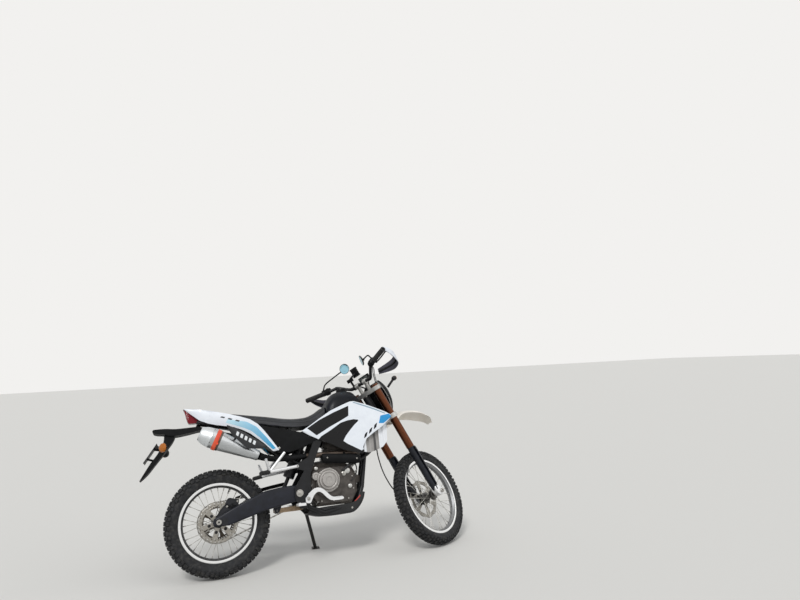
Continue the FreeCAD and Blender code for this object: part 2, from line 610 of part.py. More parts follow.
barrel = barrel_slab(-20, 150, 70, 62, 50)
fins = [barrel_slab(at, at + 4, 80, 78, 62) for at in range(24, 110, 12)]
head_block = barrel_slab(112, 192, 80, 80, 60)
cam_cover = barrel_slab(191, 208, 66, 66, 48)
port_boss = rod(tuple(V(839.3, -10, 690) - V(192, 0, -58).normalize() * 30), (839.3, -10, 690), 24)
barrel = joined([barrel, head_block, cam_cover, port_boss] + fins)
drive = rod((s.drive_x, SPROCKET_Y - s.sprocket_thick / 2, s.drive_z),
            (s.drive_x, SPROCKET_Y + s.sprocket_thick / 2, s.drive_z), s.drive_r)
shaft = rod((s.drive_x, 0, s.drive_z), (s.drive_x, SPROCKET_Y, s.drive_z), 14)
case = case.cut(belt(s.drive_r + s.chain_depth + s.swing_gap * 2, s.sprocket_r + s.chain_depth + s.swing_gap * 2,
                     chain_from - s.swing_gap, s.engine_half + 1))
rear_boss = rod((552, 1 - s.plate_in, 545), (552, s.plate_in - 1, 545), 12)
rear_boss = rear_boss.common(Part.makeBox(40, (s.plate_in - s.seat_gap) * 2, 40, V(532, s.seat_gap - s.plate_in, 525)))
front_boss = side_slab([(862, 450), (918, 470), (918, 492), (862, 520)], -27.5, 27.5)
feature("engine", joined([case, barrel, shaft, drive, rear_boss, front_boss]).cut(frame_room))
cover_side = [(566, 420), (608, 352), (812, 352), (846, 420), (840, 520), (790, 566), (610, 566), (566, 530)]
right_cover = joined([side_slab(cover_side, -s.engine_half - s.seat_gap, -108),
                      side_slab([(584, 440), (612, 398), (700, 386), (752, 420), (764, 500), (740, 562), (640, 566),
                                 (592, 548)], -107, -s.cover_face)])
steps = [(s.clutch_r, 18), (s.clutch_r * 0.84, 10), (s.clutch_r * 0.62, 8)]
face = -s.cover_face
rounds = []
for radius, rise in steps:
    rounds.append(rod((s.clutch_x, face + 1, s.clutch_z), (s.clutch_x, face - rise, s.clutch_z), radius))
    face -= rise
CLUTCH_FACE = face
pump = rod((592, -s.cover_face + 1, 518), (592, -s.cover_face - 14, 518), 25)
left_cover = side_slab(cover_side[:1] + [(640, 352)] + cover_side[2:6] + [(640, 566)],
                       s.engine_half + s.seat_gap, 104).cut(chain_room)
generator = rod((706, 103, 468), (706, 126, 468), 72)
feature("engine_covers", Part.makeCompound([joined([right_cover, pump] + rounds),
                                            joined([left_cover, generator])]))

# Exhaust
muffler_start = V(236, -190, 670)
muffler_end = V(-108, -200, 830)
muffler_way = (muffler_end - muffler_start).normalize()
port = V(839.3, -10, 690)
port_way = V(192, 0, -58).normalize()
header_points = [tuple(port + port_way * s.seat_gap), tuple(port + port_way * 56), (904, -76, 658),
                 (830, -s.header_y, 648), (558, -s.header_y, 651), (452, -119, 646), (345, -121, 646), tuple(muffler_start - muffler_way * 40),
                 tuple(muffler_start - muffler_way * s.seat_gap)]
header = bent_tube(header_points, s.header_r)
muffler_profile = [(0, 0), (0, 30), (50, 34), (250, 60), (330, 50), (368, 42), (376, 42), (376, 0)]
axis = muffler_end - muffler_start
can_pose = App.Placement(muffler_start, App.Rotation(V(0, 0, 1), axis))


def canister(grow):
    """The muffler's body, grown at its sides for the room that it needs in what sits on it."""
    can = Part.Face(wire([(r + grow if r else r, 0, a) for a, r in muffler_profile])).revolve(V(0, 0, 0), V(0, 0, 1), 360)
    can.Placement = can_pose
    return Part.makeCompound([can])


feature("muffler", canister(0))
feature("exhaust_header", header)
shield = side_slab([(622, 690), (660, 698), (800, 655), (872, 618), (880, 590), (860, 566), (640, 620)], -148, -156)
shield_pegs = [rod((x, -148.5, z), (x, -s.header_y - s.header_r - s.seat_gap, z), 7) for x, z in ((690, 649), (790, 648))]
side_plate = side_slab([(52, 860), (157, 806), (268, 722), (254, 704), (166, 712), (92, 785)], -262, -257)
plate_pegs = [rod((x, -257.5, z), (x - 20, -194, z - 56), 6) for x, z in ((106, 800), (186, 742))]
side_plate = joined([side_plate] + plate_pegs).cut(canister(s.seat_gap))
feature("heat_shields", Part.makeCompound([joined([shield] + shield_pegs), side_plate]))

# Tank, cap, seat
TANK = [  # x, underside, side line, top, half width at the side line, half width at the top
    (700.4, 846, 884, 984, 112, 52),
    (760, 828, 900, 1050, 124, 50),
    (830, 820, 900, 1066, 126, 50),
    (900, 820, 900, 1058, 118, 48),
    (990, 820, 900, 1010, 100, 40),
]


def tank_ring(x, low, side, top, side_half, top_half):
    half = [(x, side_half * 0.8, low), (x, side_half, side), (x, (side_half + top_half) / 2 + 8, (side + top) / 2 + 26),
            (x, top_half, top)]
    return half + [(x, -y, z) for x, y, z in reversed(half)]


tank = loft([tank_ring(*row) for row in TANK])
tunnel = side_slab([(1100, 700), (600, 700), (600, 890), (700, 892), (905, 938), (1100, 1030)], -34, 34)
front_room = Part.makeBox(500, 400, 600, V(-86, -200, 800))
front_room.Placement = App.Placement(V(ground_x, 0, 0), App.Rotation(V(0, 1, 0), -s.rake))
tank = tank.cut(tunnel).cut(front_room)
feature("fuel_tank", tank)
cap_x, cap_z = 830, 1066
feature("fuel_cap", rod((cap_x, 0, cap_z + s.seat_gap), (cap_x - 2, 0, cap_z + 22), 34))
SEAT = [  # x, underside, top, half width below, half width above
    (4, 926, 964, 74, 60),
    (130, 900, 950, 92, 78),
    (300, 862, 926, 106, 92),
    (450, 838, 904, 108, 92),
    (570, 836, 908, 98, 76),
    (640, 856, 944, 84, 60),
    (700, 896, 984, 66, 46),
]
seat = loft([[(x, a, lo), (x, a + 3, (lo + hi) / 2), (x, b, hi), (x, -b, hi), (x, -a - 3, (lo + hi) / 2), (x, -a, lo)]
             for x, lo, hi, a, b in SEAT])
feature("seat", seat)

# Panels: outline from the side, thickness from above
shroud_side = [(517, 806), (640, 884), (817, 964), (858, 977), (1000, 920), (1110, 852), (1045, 760), (1000, 668),
               (901, 652), (881, 626), (760, 690), (627, 757)]
shroud_plan = [(500, 136), (700, 138), (850, 146), (940, 166), (1030, 180), (1120, 182), (1120, 188), (1028, 188),
               (930, 175), (845, 155), (700, 145), (500, 143)]
shroud = side_slab(shroud_side, 0, 300).common(plan_slab(shroud_plan, 500, 1100))
shroud = joined([shroud, rod((760, 124.9, 900), (760, 143, 900), 9)])
louvre = side_slab([(981, 641), (1045, 655), (1076, 811), (1010, 800)], 146, 152)
louvre = joined([louvre, rod((1002, 136 + s.seat_gap, 720), (1002, 147, 720), 8)])
feature("shrouds", Part.makeCompound(both_sides(shroud) + both_sides(louvre)))
cover_in = s.plate_in + s.plate_thick + 2
cover_panel = side_slab([(262, 864), (335, 800), (421, 696), (520, 702), (627, 756), (700, 760), (702, 872), (640, 850),
                         (570, 830), (450, 832), (330, 850)], cover_in, cover_in + 6)
cover_panel = joined([cover_panel, rod((450, s.rail_y + s.rail_r + s.seat_gap, 806), (450, cover_in + 1, 806), 8)])
feature("side_covers", Part.makeCompound(both_sides(cover_panel)))
tail_side = [(-195, 1011), (-60, 988), (24, 968), (135, 936), (260, 852), (362, 697), (330, 692), (250, 762), (133, 854),
             (0, 892), (-102, 925), (-150, 940)]
tail_plan = [(-200, 22), (-100, 62), (24, 84), (135, 104), (262, 124), (372, 130), (372, 137), (262, 131), (135, 111),
             (24, 91), (-100, 69), (-200, 29)]
tail = side_slab(tail_side, 0, 300).common(plan_slab(tail_plan, 500, 1100))
tail_top = loft([[(-195, 25, 1011), (-195, 25, 1003), (-195, -25, 1003), (-195, -25, 1011)],
                 [(3.6, 80, 973), (3.6, 80, 965), (3.6, -80, 965), (3.6, -80, 973)]])
tail_pegs = both_sides(rod((100, 74 + s.rail_r + s.seat_gap, 886), (100, 100, 886), 7))
feature("tail_panels", joined(both_sides(tail) + [tail_top] + tail_pegs))
feature("tail_light", side_slab([(-186, 1000.8), (-176, 926), (-124, 936), (-124, 988.7)], -19, 19))
fender = side_slab([(236, 752), (120, 824), (-60, 888), (-160, 880), (-242, 890), (-375, 891), (-375, 868), (-306, 856),
                    (-189, 842), (-100, 858), (-62, 868), (116, 814), (230, 742)], -62, 62)
fender_lug = rod((-110, 0, 880), (-110, 0, 918 - s.rail_r - s.seat_gap), 14)
plate_arm = side_slab([(-262, 862), (-318, 868), (-342, 800), (-443, 602), (-434, 597), (-330, 700), (-268, 780)], -48, 48)
feature("rear_fender", joined([fender, plate_arm, fender_lug]))
lamps = []
for side in (1, -1):
    lamps.append(joined([rod((-345, side * 48.3, 784), (-345, side * 60, 784), 7),
                         rod((-345, side * 55, 784), (-312, side * 150, 768), 7),
                         rod((-290, side * 162, 766), (-330, side * 162, 768), 26)]))
feature("rear_indicators", Part.makeCompound(lamps))

# Rear shock, its link, radiators, air box
along = (shock_low - shock_top).normalize()
stroke = (shock_low - shock_top).Length
shock = [Part.makeCylinder(12, stroke, shock_top, along), Part.makeCylinder(36, 190, shock_top + along * 66, along),
         Part.makeCylinder(24, 60, shock_top + along * 20, along)]
shock += [rod((p.x, -s.eye_half, p.z), (p.x, s.eye_half, p.z), s.eye_r) for p in (shock_top, shock_low)]
eye_rooms = [rod((p.x, -50, p.z), (p.x, 50, p.z), s.eye_pin_r + s.seat_gap) for p in (shock_top, shock_low)]
feature("rear_shock", joined(shock).cut(Part.makeCompound(eye_rooms)))
link = side_slab([(350, 326), (350, 354), (505, 358), (505, 327)], s.link_half - 9, s.link_half)
link_ends = [rod((p.x, -s.link_half, p.z), (p.x, s.link_half, p.z), s.eye_r) for p in (link_rear, link_front)]
link_rooms = [rod((p.x, -50, p.z), (p.x, 50, p.z), r + s.seat_gap)
              for p, r in ((link_rear, s.eye_pin_r), (link_front, s.link_bar_r))]
feature("shock_link", joined(both_sides(link) + link_ends).cut(Part.makeCompound(link_rooms)))
core = joined([Part.makeBox(42, 84, 140, V(978, 52, 656)), rod((998, 18 + s.seat_gap, 760), (998, 53, 760), 7)])
feature("radiators", Part.makeCompound(both_sides(core)))
airbox = side_slab([(250, 846), (232, 800), (330, 716), (430, 706), (470, 730), (500, 800), (440, 826)], -66, 66)
feature("airbox", airbox.cut(rod((420, -200, 812), (420, 200, 812), s.rail_r + s.seat_gap)))

# Lower pieces
skid = side_slab([(534, 297), (627, 272), (840, 276), (914, 350), (940, 440), (932, 443), (902, 356), (832, 290),
                  (628, 284), (540, 306)], -86, 86)
skid_wall = side_slab([(548, 304), (628, 282), (832, 288), (902, 356), (936, 443), (902, 443), (868, 372), (846, 346),
                       (590, 346), (552, 332)], 82, 87)
feature("skid_plate", joined([skid] + both_sides(skid_wall)).cut(frame_room))
pedal = side_slab([(516, 372), (520, 398), (560, 440), (592, 446), (640, 420), (680, 382), (742, 378), (742, 362),
                   (676, 364), (630, 400), (590, 424), (566, 416), (540, 376)], CLUTCH_FACE - 4, CLUTCH_FACE - 14)
pedal_boss = rod((529, CLUTCH_FACE - 5, 388), (529, -s.plate_in - s.plate_thick - s.seat_gap, 388), 11)
lever = side_slab([(632, 388), (632, 410), (760, 404), (760, 388)], 132, 142)
lever_boss = rod((642, 133, 399), (642, 104 + s.seat_gap, 399), 9)
lever_toe = rod((752, 141, 396), (752, 172, 396), 8)
feature("foot_controls", Part.makeCompound([joined([pedal, pedal_boss]), joined([lever, lever_boss, lever_toe])]))
peg = joined([Part.makeBox(46, 90, 16, V(455, 150, 350)),
              rod((478, s.plate_in + s.plate_thick + s.seat_gap, 360), (478, 152, 360), 10)])
feature("rider_pegs", Part.makeCompound(both_sides(peg)))
bracket_y = 172
STAR = [(272, 220, 650), (399, bracket_y, 681), (472, bracket_y, 588)]
arms = [rod((300, bracket_y, 569), end, 8) for end in STAR]
hub_ball = Part.makeSphere(11, V(300, bracket_y, 569))
bosses = [rod((472, bracket_y, 588), (472, s.plate_in + s.plate_thick + s.seat_gap, 588), 9)]
step = rod((300, bracket_y, 569), (238, 236, 560), 13)
feature("passenger_pegs", Part.makeCompound(both_sides(joined(arms + [hub_ball, step] + bosses))))

# Rear brake caliper
caliper = side_slab([(x, s.rear_tyre_r + up) for x, up in ((40, 87), (60, 133), (120, 117), (112, 71), (70, 67))],
                    REAR_DISC_Y - 18, REAR_DISC_Y + 16)
slot_room = rod((0, REAR_DISC_Y - 4, s.rear_tyre_r), (0, REAR_DISC_Y + 4, s.rear_tyre_r), s.rear_disc_r + 4)
arm_plate = side_slab([(x, s.rear_tyre_r + up) for x, up in ((-18, -17), (20, -19), (112, 71), (70, 107), (30, 89),
                                                            (-20, 19))], REAR_DISC_Y - 18, REAR_DISC_Y - 12)
spacer_room = rod((0, -200, s.rear_tyre_r), (0, 0, s.rear_tyre_r), 15 + s.seat_gap)
feature("rear_caliper", joined([caliper.cut(slot_room), arm_plate]).cut(spacer_room))

# Steering: clamps, legs, axle
legs = [(s.leg_x, side * s.leg_y) for side in (1, -1)]


def fork_clamp(z_from, thick):
    """A clamp plate round both legs."""
    plan = [(-26, -34), (-26, 34), (s.leg_x - 34, s.leg_y), (s.leg_x + 34, s.leg_y), (s.leg_x + 28, 0),
            (s.leg_x + 34, -s.leg_y), (s.leg_x - 34, -s.leg_y)]
    plate = plan_slab(plan, z_from, z_from + thick)
    rings = [rod((x, y, z_from), (x, y, z_from + thick), s.fork_tube_r + 8) for x, y in legs]
    holes = [rod((x, y, z_from - 1), (x, y, z_from + thick + 1), s.fork_tube_r + s.seat_gap) for x, y in legs]
    return joined([plate] + rings).cut(Part.makeCompound(holes))


stem = rod((0, 0, s.clamp_low + 2), (0, 0, s.clamp_high + s.clamp_thick), s.stem_r)
risers = [rod((s.bar_x, y, s.clamp_high + 20), (s.bar_x, y, s.bar_z - 8), 12) for y in (38, -38)]
saddles = [rod((s.bar_x, y - 14, s.bar_z), (s.bar_x, y + 14, s.bar_z), s.bar_r + 9) for y in (38, -38)]
bar_room = rod((s.bar_x, -80, s.bar_z), (s.bar_x, 80, s.bar_z), s.bar_r + s.seat_gap)
clamps = joined([stem, fork_clamp(s.clamp_low, s.clamp_thick), fork_clamp(s.clamp_high, 28)] + risers + saddles)
feature("fork_clamps", clamps.cut(bar_room), "steering")
feature("fork_tubes", Part.makeCompound([rod((x, y, s.fork_split), (x, y, s.fork_top), s.fork_tube_r)
                                         for x, y in legs]), "steering")
leg_shapes = []
for x, y in legs:
    inner = 78 if y > 0 else -78
    outer = 120 if y > 0 else -120
    slider = rod((x, y, AXLE_Z + 20), (x, y, s.fork_split - s.seat_gap), s.slider_r)
    shoe = rod((AXLE_X, inner, AXLE_Z), (AXLE_X, outer, AXLE_Z), 24)
    neck_low = Part.makeBox(46, abs(outer - inner) - 4, 60, V(x - 22, min(inner, outer) + 2, AXLE_Z - 2))
    guard_tube = rod((x, y, AXLE_Z + 54), (x, y, s.fork_split - 4), s.slider_r + 14)
    guard_tube = guard_tube.cut(rod((x, y, AXLE_Z + 50), (x, y, s.fork_split), s.slider_r + 9))
    guard_tube = guard_tube.common(Part.makeBox(60, 90, 400, V(x - 4, y - 45, AXLE_Z + 54)))
    leg_shapes.append(joined([slider, shoe, neck_low, guard_tube]).cut(
        rod((AXLE_X, -200, AXLE_Z), (AXLE_X, 200, AXLE_Z), s.axle_r + s.seat_gap)))
feature("fork_legs", Part.makeCompound(leg_shapes), "steering")
front_bar = rod((AXLE_X, -130, AXLE_Z), (AXLE_X, 130, AXLE_Z), s.axle_r)
front_nuts = [rod((AXLE_X, side * (120 + s.seat_gap), AXLE_Z), (AXLE_X, side * 130, AXLE_Z), 14) for side in (1, -1)]
front_spacers = [rod((AXLE_X, 66, AXLE_Z), (AXLE_X, 78 - s.seat_gap, AXLE_Z), 14),
                 rod((AXLE_X, -s.front_hub_half - 2, AXLE_Z), (AXLE_X, -78 + s.seat_gap, AXLE_Z), 14)]
front_hole = rod((AXLE_X, -200, AXLE_Z), (AXLE_X, 200, AXLE_Z), s.axle_bore_r)
feature("front_axle", joined([front_bar] + front_nuts + front_spacers).cut(front_hole), "steering")
jaw = side_slab([(x, AXLE_Z + up) for x, up in ((-40, 61.5), (-44, 115.5), (4, 135.5), (12, 85.5), (-6, 61.5))],
                FRONT_DISC_Y - 16, FRONT_DISC_Y + 30)
jaw_room = rod((AXLE_X, FRONT_DISC_Y - 4, AXLE_Z), (AXLE_X, FRONT_DISC_Y + 4, AXLE_Z), s.front_disc_r + 4)
leg_room = rod((s.leg_x, s.leg_y, 300), (s.leg_x, s.leg_y, 700), s.slider_r + s.seat_gap)
feature("front_caliper", jaw.cut(jaw_room).cut(leg_room), "steering")

# Front fender, mask, lamp, instrument
FENDER = [  # x, z of the top, half width, drop of the sides
    (-36, 902, 60, 20),
    (70, 912, 66, 24),
    (190, 934, 74, 30),
    (350, 884, 70, 34),
    (488, 796, 46, 28),
    (508, 728, 22, 8),
]


def fender_ring(x, z, half, drop):
    thick = 4
    return [(x, half, z - drop), (x, half * 0.72, z - 4), (x, 0, z), (x, -half * 0.72, z - 4), (x, -half, z - drop),
            (x, -half + thick, z - drop), (x, -half * 0.72 + 2, z - 4 - thick), (x, 0, z - thick),
            (x, half * 0.72 - 2, z - 4 - thick), (x, half - thick, z - drop)]


fender_pegs = [rod((12, side * 20, 903), (12, side * 20, s.clamp_low - s.seat_gap), 8) for side in (1, -1)]
feature("front_fender", joined([loft([fender_ring(*row) for row in FENDER])] + fender_pegs), "steering")
MASK = [  # z, half width, x of the front, x of the rear
    (952, 52, 144, 92),
    (1040, 96, 184, 92),
    (1130, 104, 196, 86),
    (1202, 62, 184, 116),
]


def mask_ring(z, half, front, rear, inset):
    half -= inset
    front -= inset
    return [(rear, half, z), (front - 40, half, z), (front, half * 0.45, z), (front, -half * 0.45, z),
            (front - 40, -half, z), (rear, -half, z)]


mask = loft([mask_ring(*row, 0) for row in MASK])
hollow = loft([mask_ring(z + lift, half, front, rear - 60, 5) for (z, half, front, rear), lift in zip(MASK, (6, 0, 0, -6))])
glass_hole = rod((150, 0, 1082), (300, 0, 1082), s.lamp_r + s.seat_gap)
tabs = both_sides(side_slab([(s.leg_x + s.fork_tube_r + 0.6, 1050), (s.leg_x + s.fork_tube_r + 0.6, 1074),
                             (110, 1074), (110, 1050)], 93, 98))
feature("headlight_mask", joined([mask.cut(hollow).cut(glass_hole)] + tabs), "steering")
lamp = joined([rod((122, 0, 1082), (192, 0, 1082), s.lamp_r), rod((94, 0, 1082), (123, 0, 1082), 30)])
feature("headlight", lamp, "steering")
clamp_top = s.clamp_high + 28 + s.seat_gap
meter_arm = side_slab([(32, clamp_top), (64, clamp_top), (98, 1228), (86, 1228), (58, clamp_top + 6), (32, clamp_top + 6)],
                      -18, 18)
meter = joined([Part.makeBox(22, 96, 54, V(78, -48, 1226)), meter_arm])
holder_ring = rod((s.bar_x, 57, s.bar_z), (s.bar_x, 75, s.bar_z), s.bar_r + 7)
holder = joined([holder_ring, rod((s.bar_x, 66, s.bar_z + 10), (4, 52, 1292), 8), Part.makeBox(34, 40, 24, V(-14, 32, 1284)),
                 rod((6, 48, 1300), (34, 8, 1322), 7), Part.makeBox(16, 56, 66, V(28, -24, 1296))])

# Handlebar and what it carries
bar_half_points = [(s.bar_x, 102, s.bar_z), (-12, 180, 1302), (-64, 245, 1312), (-100, s.bar_half, 1338)]
bar_points = mirrored(list(reversed(bar_half_points))) + bar_half_points
bar = bent_tube(bar_points, s.bar_r)
bar_room_all = bent_tube(bar_points, s.bar_r + s.seat_gap)
feature("instrument", Part.makeCompound([meter, holder.cut(bar_room_all)]), "steering")
grip_from, bar_end = V(*bar_half_points[-2]), V(*bar_half_points[-1])
grip_line = (bar_end - grip_from).normalize()
end_bore = Part.makeCylinder(s.bar_end_r, 42, bar_end - grip_line * 40, grip_line)
feature("handlebar", bar.cut(Part.makeCompound(both_sides(end_bore))), "steering")
grip = Part.makeCylinder(s.grip_r, 118, bar_end - grip_line * 120, grip_line)
grip = grip.cut(Part.makeCylinder(s.bar_r + s.seat_gap, 400, bar_end - grip_line * 200, grip_line))
feature("grips", Part.makeCompound(both_sides(grip)), "steering")


def on_bar(back, forward, up):
    """A point measured from the bar's end back along the grip, and square to it."""
    return bar_end - grip_line * back + V(forward, 0, 0) + V(0, 0, up)


perch = Part.makeCylinder(18, 24, on_bar(148, 0, 0), grip_line)
perch = perch.cut(Part.makeCylinder(s.bar_r + s.seat_gap, 400, bar_end - grip_line * 200, grip_line))
blade = joined([perch, rod(on_bar(146, 12, 0), on_bar(150, 44, -10), 9).cut(
    Part.makeCylinder(s.bar_r + s.seat_gap, 400, bar_end - grip_line * 200, grip_line)),
    tube_run([on_bar(150, 44, -10), on_bar(110, 52, -12), on_bar(10, 34, -14)], 5)])
feature("levers", Part.makeCompound(both_sides(blade.cut(bar_room_all))), "steering")
GUARD = [  # x and z of the upper edge, x and z of the lower edge, y, and the wall's step in x and y
    (-84, 1358, -84, 1322, 403, 0, -5),
    (-40, 1330, -46, 1276, 405, -1, -5),
    (24, 1286, 12, 1216, 380, -4, -3),
    (46, 1262, 28, 1196, 310, -5, 0),
    (26, 1262, 10, 1222, 190, -5, 1),
]
guard_shape = loft([[(xa, y, za), (xa + dx, y + dy, za), (xb + dx, y + dy, zb), (xb, y, zb)]
                    for xa, za, xb, zb, y, dx, dy in GUARD])
collar = Part.makeCylinder(s.grip_r, 16, on_bar(-s.seat_gap, 0, 0), grip_line).cut(
    Part.makeCylinder(s.bar_end_r + 2, 40, on_bar(10, 0, 0), grip_line))
strut = joined([collar, rod(on_bar(-9, 13, 0), on_bar(-12, 24, 0), 6)])
bar_room_side = Part.makeCylinder(s.grip_r + s.seat_gap, 200, bar_end - grip_line * (200 - s.seat_gap), grip_line)
feature("hand_guards", Part.makeCompound(both_sides(joined([guard_shape, strut]).cut(bar_room_side))), "steering")
MIRRORS = [(1, (60, 84, 1392)), (-1, (10, -128, 1368))]
mirror_shapes = []
for side, centre in MIRRORS:
    root_point = on_bar(136, 0, 16)
    root_point = (root_point.x, side * root_point.y, root_point.z)
    elbow = (root_point[0] + 24, root_point[1] - side * 30, root_point[2] + 40)
    stem_run = tube_run([root_point, elbow, centre], 5)
    face_way = V(-1, -0.35, 0.1)
    disc = Part.makeCylinder(37, 16, V(*centre), face_way)
    perch_room = Part.makeCylinder(18 + s.seat_gap, 24.6, on_bar(148.3, 0, 0), grip_line)
    mirror_shapes.append(joined([stem_run, disc]).cut(Part.makeCompound(both_sides(perch_room))))
feature("mirrors", Part.makeCompound(mirror_shapes), "steering")
winkers = [joined([rod((134, side * 104, 1120), (134, side * 112, 1120), 6),
                   rod((134, side * 110, 1120), (176, side * 152, 1150), 6),
                   rod((160, side * 160, 1152), (200, side * 160, 1152), 22)]) for side in (1, -1)]
feature("front_indicators", Part.makeCompound(winkers), "steering")
hose = bent_tube([(-8, 76, s.clamp_low - 2.4), (-44, 80, 850), (-104, 82, 770), (-150, 84, 640), (-146, 84, 510),
                  (-88, 76, 424), (-42.6, 70, 424)], 4)
feature("brake_hose", hose, "steering")

# Poses
tyre_rings = {}
for side, tyre_r, half, _ in TYRES:
    middle, shoulder = lug_outlines(tyre_r, half, s.lug_height)
    tyre_rings[side] = middle + shoulder + [(r, -y) for r, y in shoulder]

def lowest(side, pose):
    """The lowest point of a tyre whose wheel frame has this pose."""
    centre = pose.Base
    spin = pose.Rotation.multVec(V(0, 1, 0))
    flat = math.sqrt(1 - spin.z ** 2)
    return min(centre.z + y * spin.z - r * flat for r, y in tyre_rings[side])


def wheel_poses(pitch):
    body = turn((0, 1, 0), pitch).multiply(turn((1, 0, 0), -s.lean))
    rear = body.multiply(App.Placement(V(0, 0, s.rear_tyre_r), App.Rotation()))
    front = body.multiply(steered).multiply(App.Placement(V(AXLE_X, 0, AXLE_Z), App.Rotation()))
    return body, rear, front


low, high = -8.0, 8.0
for _ in range(60):
    pitch = (low + high) / 2
    _, rear, front = wheel_poses(pitch)
    if lowest("front", front) > lowest("rear", rear):
        low = pitch
    else:
        high = pitch
body, rear, front = wheel_poses(pitch)
lift = App.Placement(V(0, 0, -lowest("rear", rear)), App.Rotation())
upright_pose = lift.multiply(body)
poses = {
    "upright": upright_pose,
    "steering": upright_pose.multiply(steered),
    "rear_wheel": lift.multiply(rear),
    "front_wheel": lift.multiply(front),
}

# Side stand, drawn from the ground up: its foot is flat on the floor
ground = upright_pose.inverse()


def on_ground(x, y):
    """The upright point that stands on the floor at this x and y of the upright machine."""
    top, bottom = V(x, y, 400), V(x, y, -400)
    high_z, low_z = upright_pose.multVec(top).z, upright_pose.multVec(bottom).z
    share = high_z / (high_z - low_z)
    return top + (bottom - top) * share


pivot = V(s.stand_x, s.stand_y, s.stand_z)
foot = on_ground(s.foot_x, s.foot_y)
foot_world = upright_pose.multVec(foot)
pad = Part.makeBox(s.foot_half * 2, 36, s.foot_thick, V(-s.foot_half, -18, 0))
pad.Placement = ground.multiply(App.Placement(foot_world, App.Rotation()))
leg_way = (foot - pivot).normalize()
hinge = V(0, -leg_way.z, leg_way.y).normalize()
ankle = foot - leg_way * 8
boss_half = s.stand_r + 1
stand_boss = Part.makeCylinder(17, boss_half * 2, pivot - hinge * boss_half, hinge)
pin_room = Part.makeCylinder(s.stand_pin_r + s.seat_gap, 80, pivot - hinge * 40, hinge)
stand = joined([stand_boss, rod(pivot, ankle, s.stand_r), pad]).cut(pin_room)
below = Part.makeBox(3000, 3000, 500, V(-1500, -1500, -500))
below.Placement = ground
stand = stand.cut(below)
feature("side_stand", stand)
stand_pin = Part.makeCylinder(s.stand_pin_r, 32 + boss_half + 4, pivot - hinge * 32, hinge)
pin_head = Part.makeCylinder(s.stand_pin_r + 4, 5, pivot + hinge * (boss_half + s.seat_gap), hinge)
feature("main_frame", joined([frame, stand_pin, pin_head]))

# Everything to its pose, with the origin on the floor under the middle of the whole machine
for obj, frame_name in pieces.values():
    obj.Placement = poses[frame_name]
doc.recompute()
box = App.BoundBox()
for obj, _ in pieces.values():
    box.add(obj.Shape.optimalBoundingBox(True, False))
shift = App.Placement(V(-box.Center.x, -box.Center.y, -box.ZMin), App.Rotation())
for obj, frame_name in pieces.values():
    obj.Placement = shift.multiply(obj.Placement)
doc.recompute()

for obj in doc.Objects:
    if "Invalid" in obj.State or "Error" in obj.State:
        raise RuntimeError("%s failed: %s" % (obj.Label, obj.State))
os.makedirs("parts", exist_ok=True)
for name, (obj, _) in pieces.items():
    shape = obj.Shape
    if shape.isNull() or not shape.isValid() or shape.Volume <= 0:
        raise RuntimeError("%s has no valid solid" % name)
    shape.exportStep("parts/%s.step" % name)

where = shift.multiply(upright_pose)
way = shift.multiply(poses["steering"])
print("bounds", [round(value, 2) for value in (box.XLength, box.YLength, box.ZLength)], "pitch", round(pitch, 3))
print("steering point", way.Base, "axis", way.Rotation.multVec(V(0, 0, 1)))
print("rear axle", shift.multiply(poses["rear_wheel"]).Base, "axis", where.Rotation.multVec(V(0, 1, 0)))
print("front axle", shift.multiply(poses["front_wheel"]).Base, "axis", way.Rotation.multVec(V(0, 1, 0)))
print("stand pivot", where.multVec(pivot), "axis", where.Rotation.multVec(hinge))
print("bar ends", way.multVec(bar_end), way.Rotation.multVec(grip_line),
      way.multVec(V(bar_end.x, -bar_end.y, bar_end.z)), way.Rotation.multVec(V(grip_line.x, -grip_line.y, grip_line.z)))
print("nodes", len(pieces))
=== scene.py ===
"""Dual sport motorcycle on its side stand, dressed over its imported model.

Lengths in this file are millimetres in two local frames, and to_world turns them into the model's metres.
"machine" starts on the ground under the rear axle: x forward, y to the left, z up the leaning machine.
"steering" has z up the steering axis, y along the front axle and x forward, square to both.
"""
import json
import math

import bmesh
import bpy
import numpy as np
from mathutils import Matrix
from mathutils.bvhtree import BVHTree


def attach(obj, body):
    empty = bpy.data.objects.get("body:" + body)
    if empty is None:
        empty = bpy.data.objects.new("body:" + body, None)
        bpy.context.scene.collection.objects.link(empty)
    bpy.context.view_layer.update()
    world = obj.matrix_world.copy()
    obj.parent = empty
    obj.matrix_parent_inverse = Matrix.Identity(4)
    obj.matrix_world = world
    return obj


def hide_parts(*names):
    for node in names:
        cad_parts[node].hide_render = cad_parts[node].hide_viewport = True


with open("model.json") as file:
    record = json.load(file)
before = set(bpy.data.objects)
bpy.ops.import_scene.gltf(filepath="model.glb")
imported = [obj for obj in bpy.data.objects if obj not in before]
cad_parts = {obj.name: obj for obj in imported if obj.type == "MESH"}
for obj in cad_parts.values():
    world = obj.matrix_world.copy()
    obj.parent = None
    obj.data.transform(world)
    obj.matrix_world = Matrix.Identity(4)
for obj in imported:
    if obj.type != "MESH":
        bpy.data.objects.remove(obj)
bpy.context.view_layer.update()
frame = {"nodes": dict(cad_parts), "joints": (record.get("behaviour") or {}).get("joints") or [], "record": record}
nodes = frame["nodes"]
joints = {joint["name"]: joint for joint in frame["joints"]}


def unit(vector):
    """A vector of length one."""
    vector = np.asarray(vector, float)
    return vector / np.linalg.norm(vector)


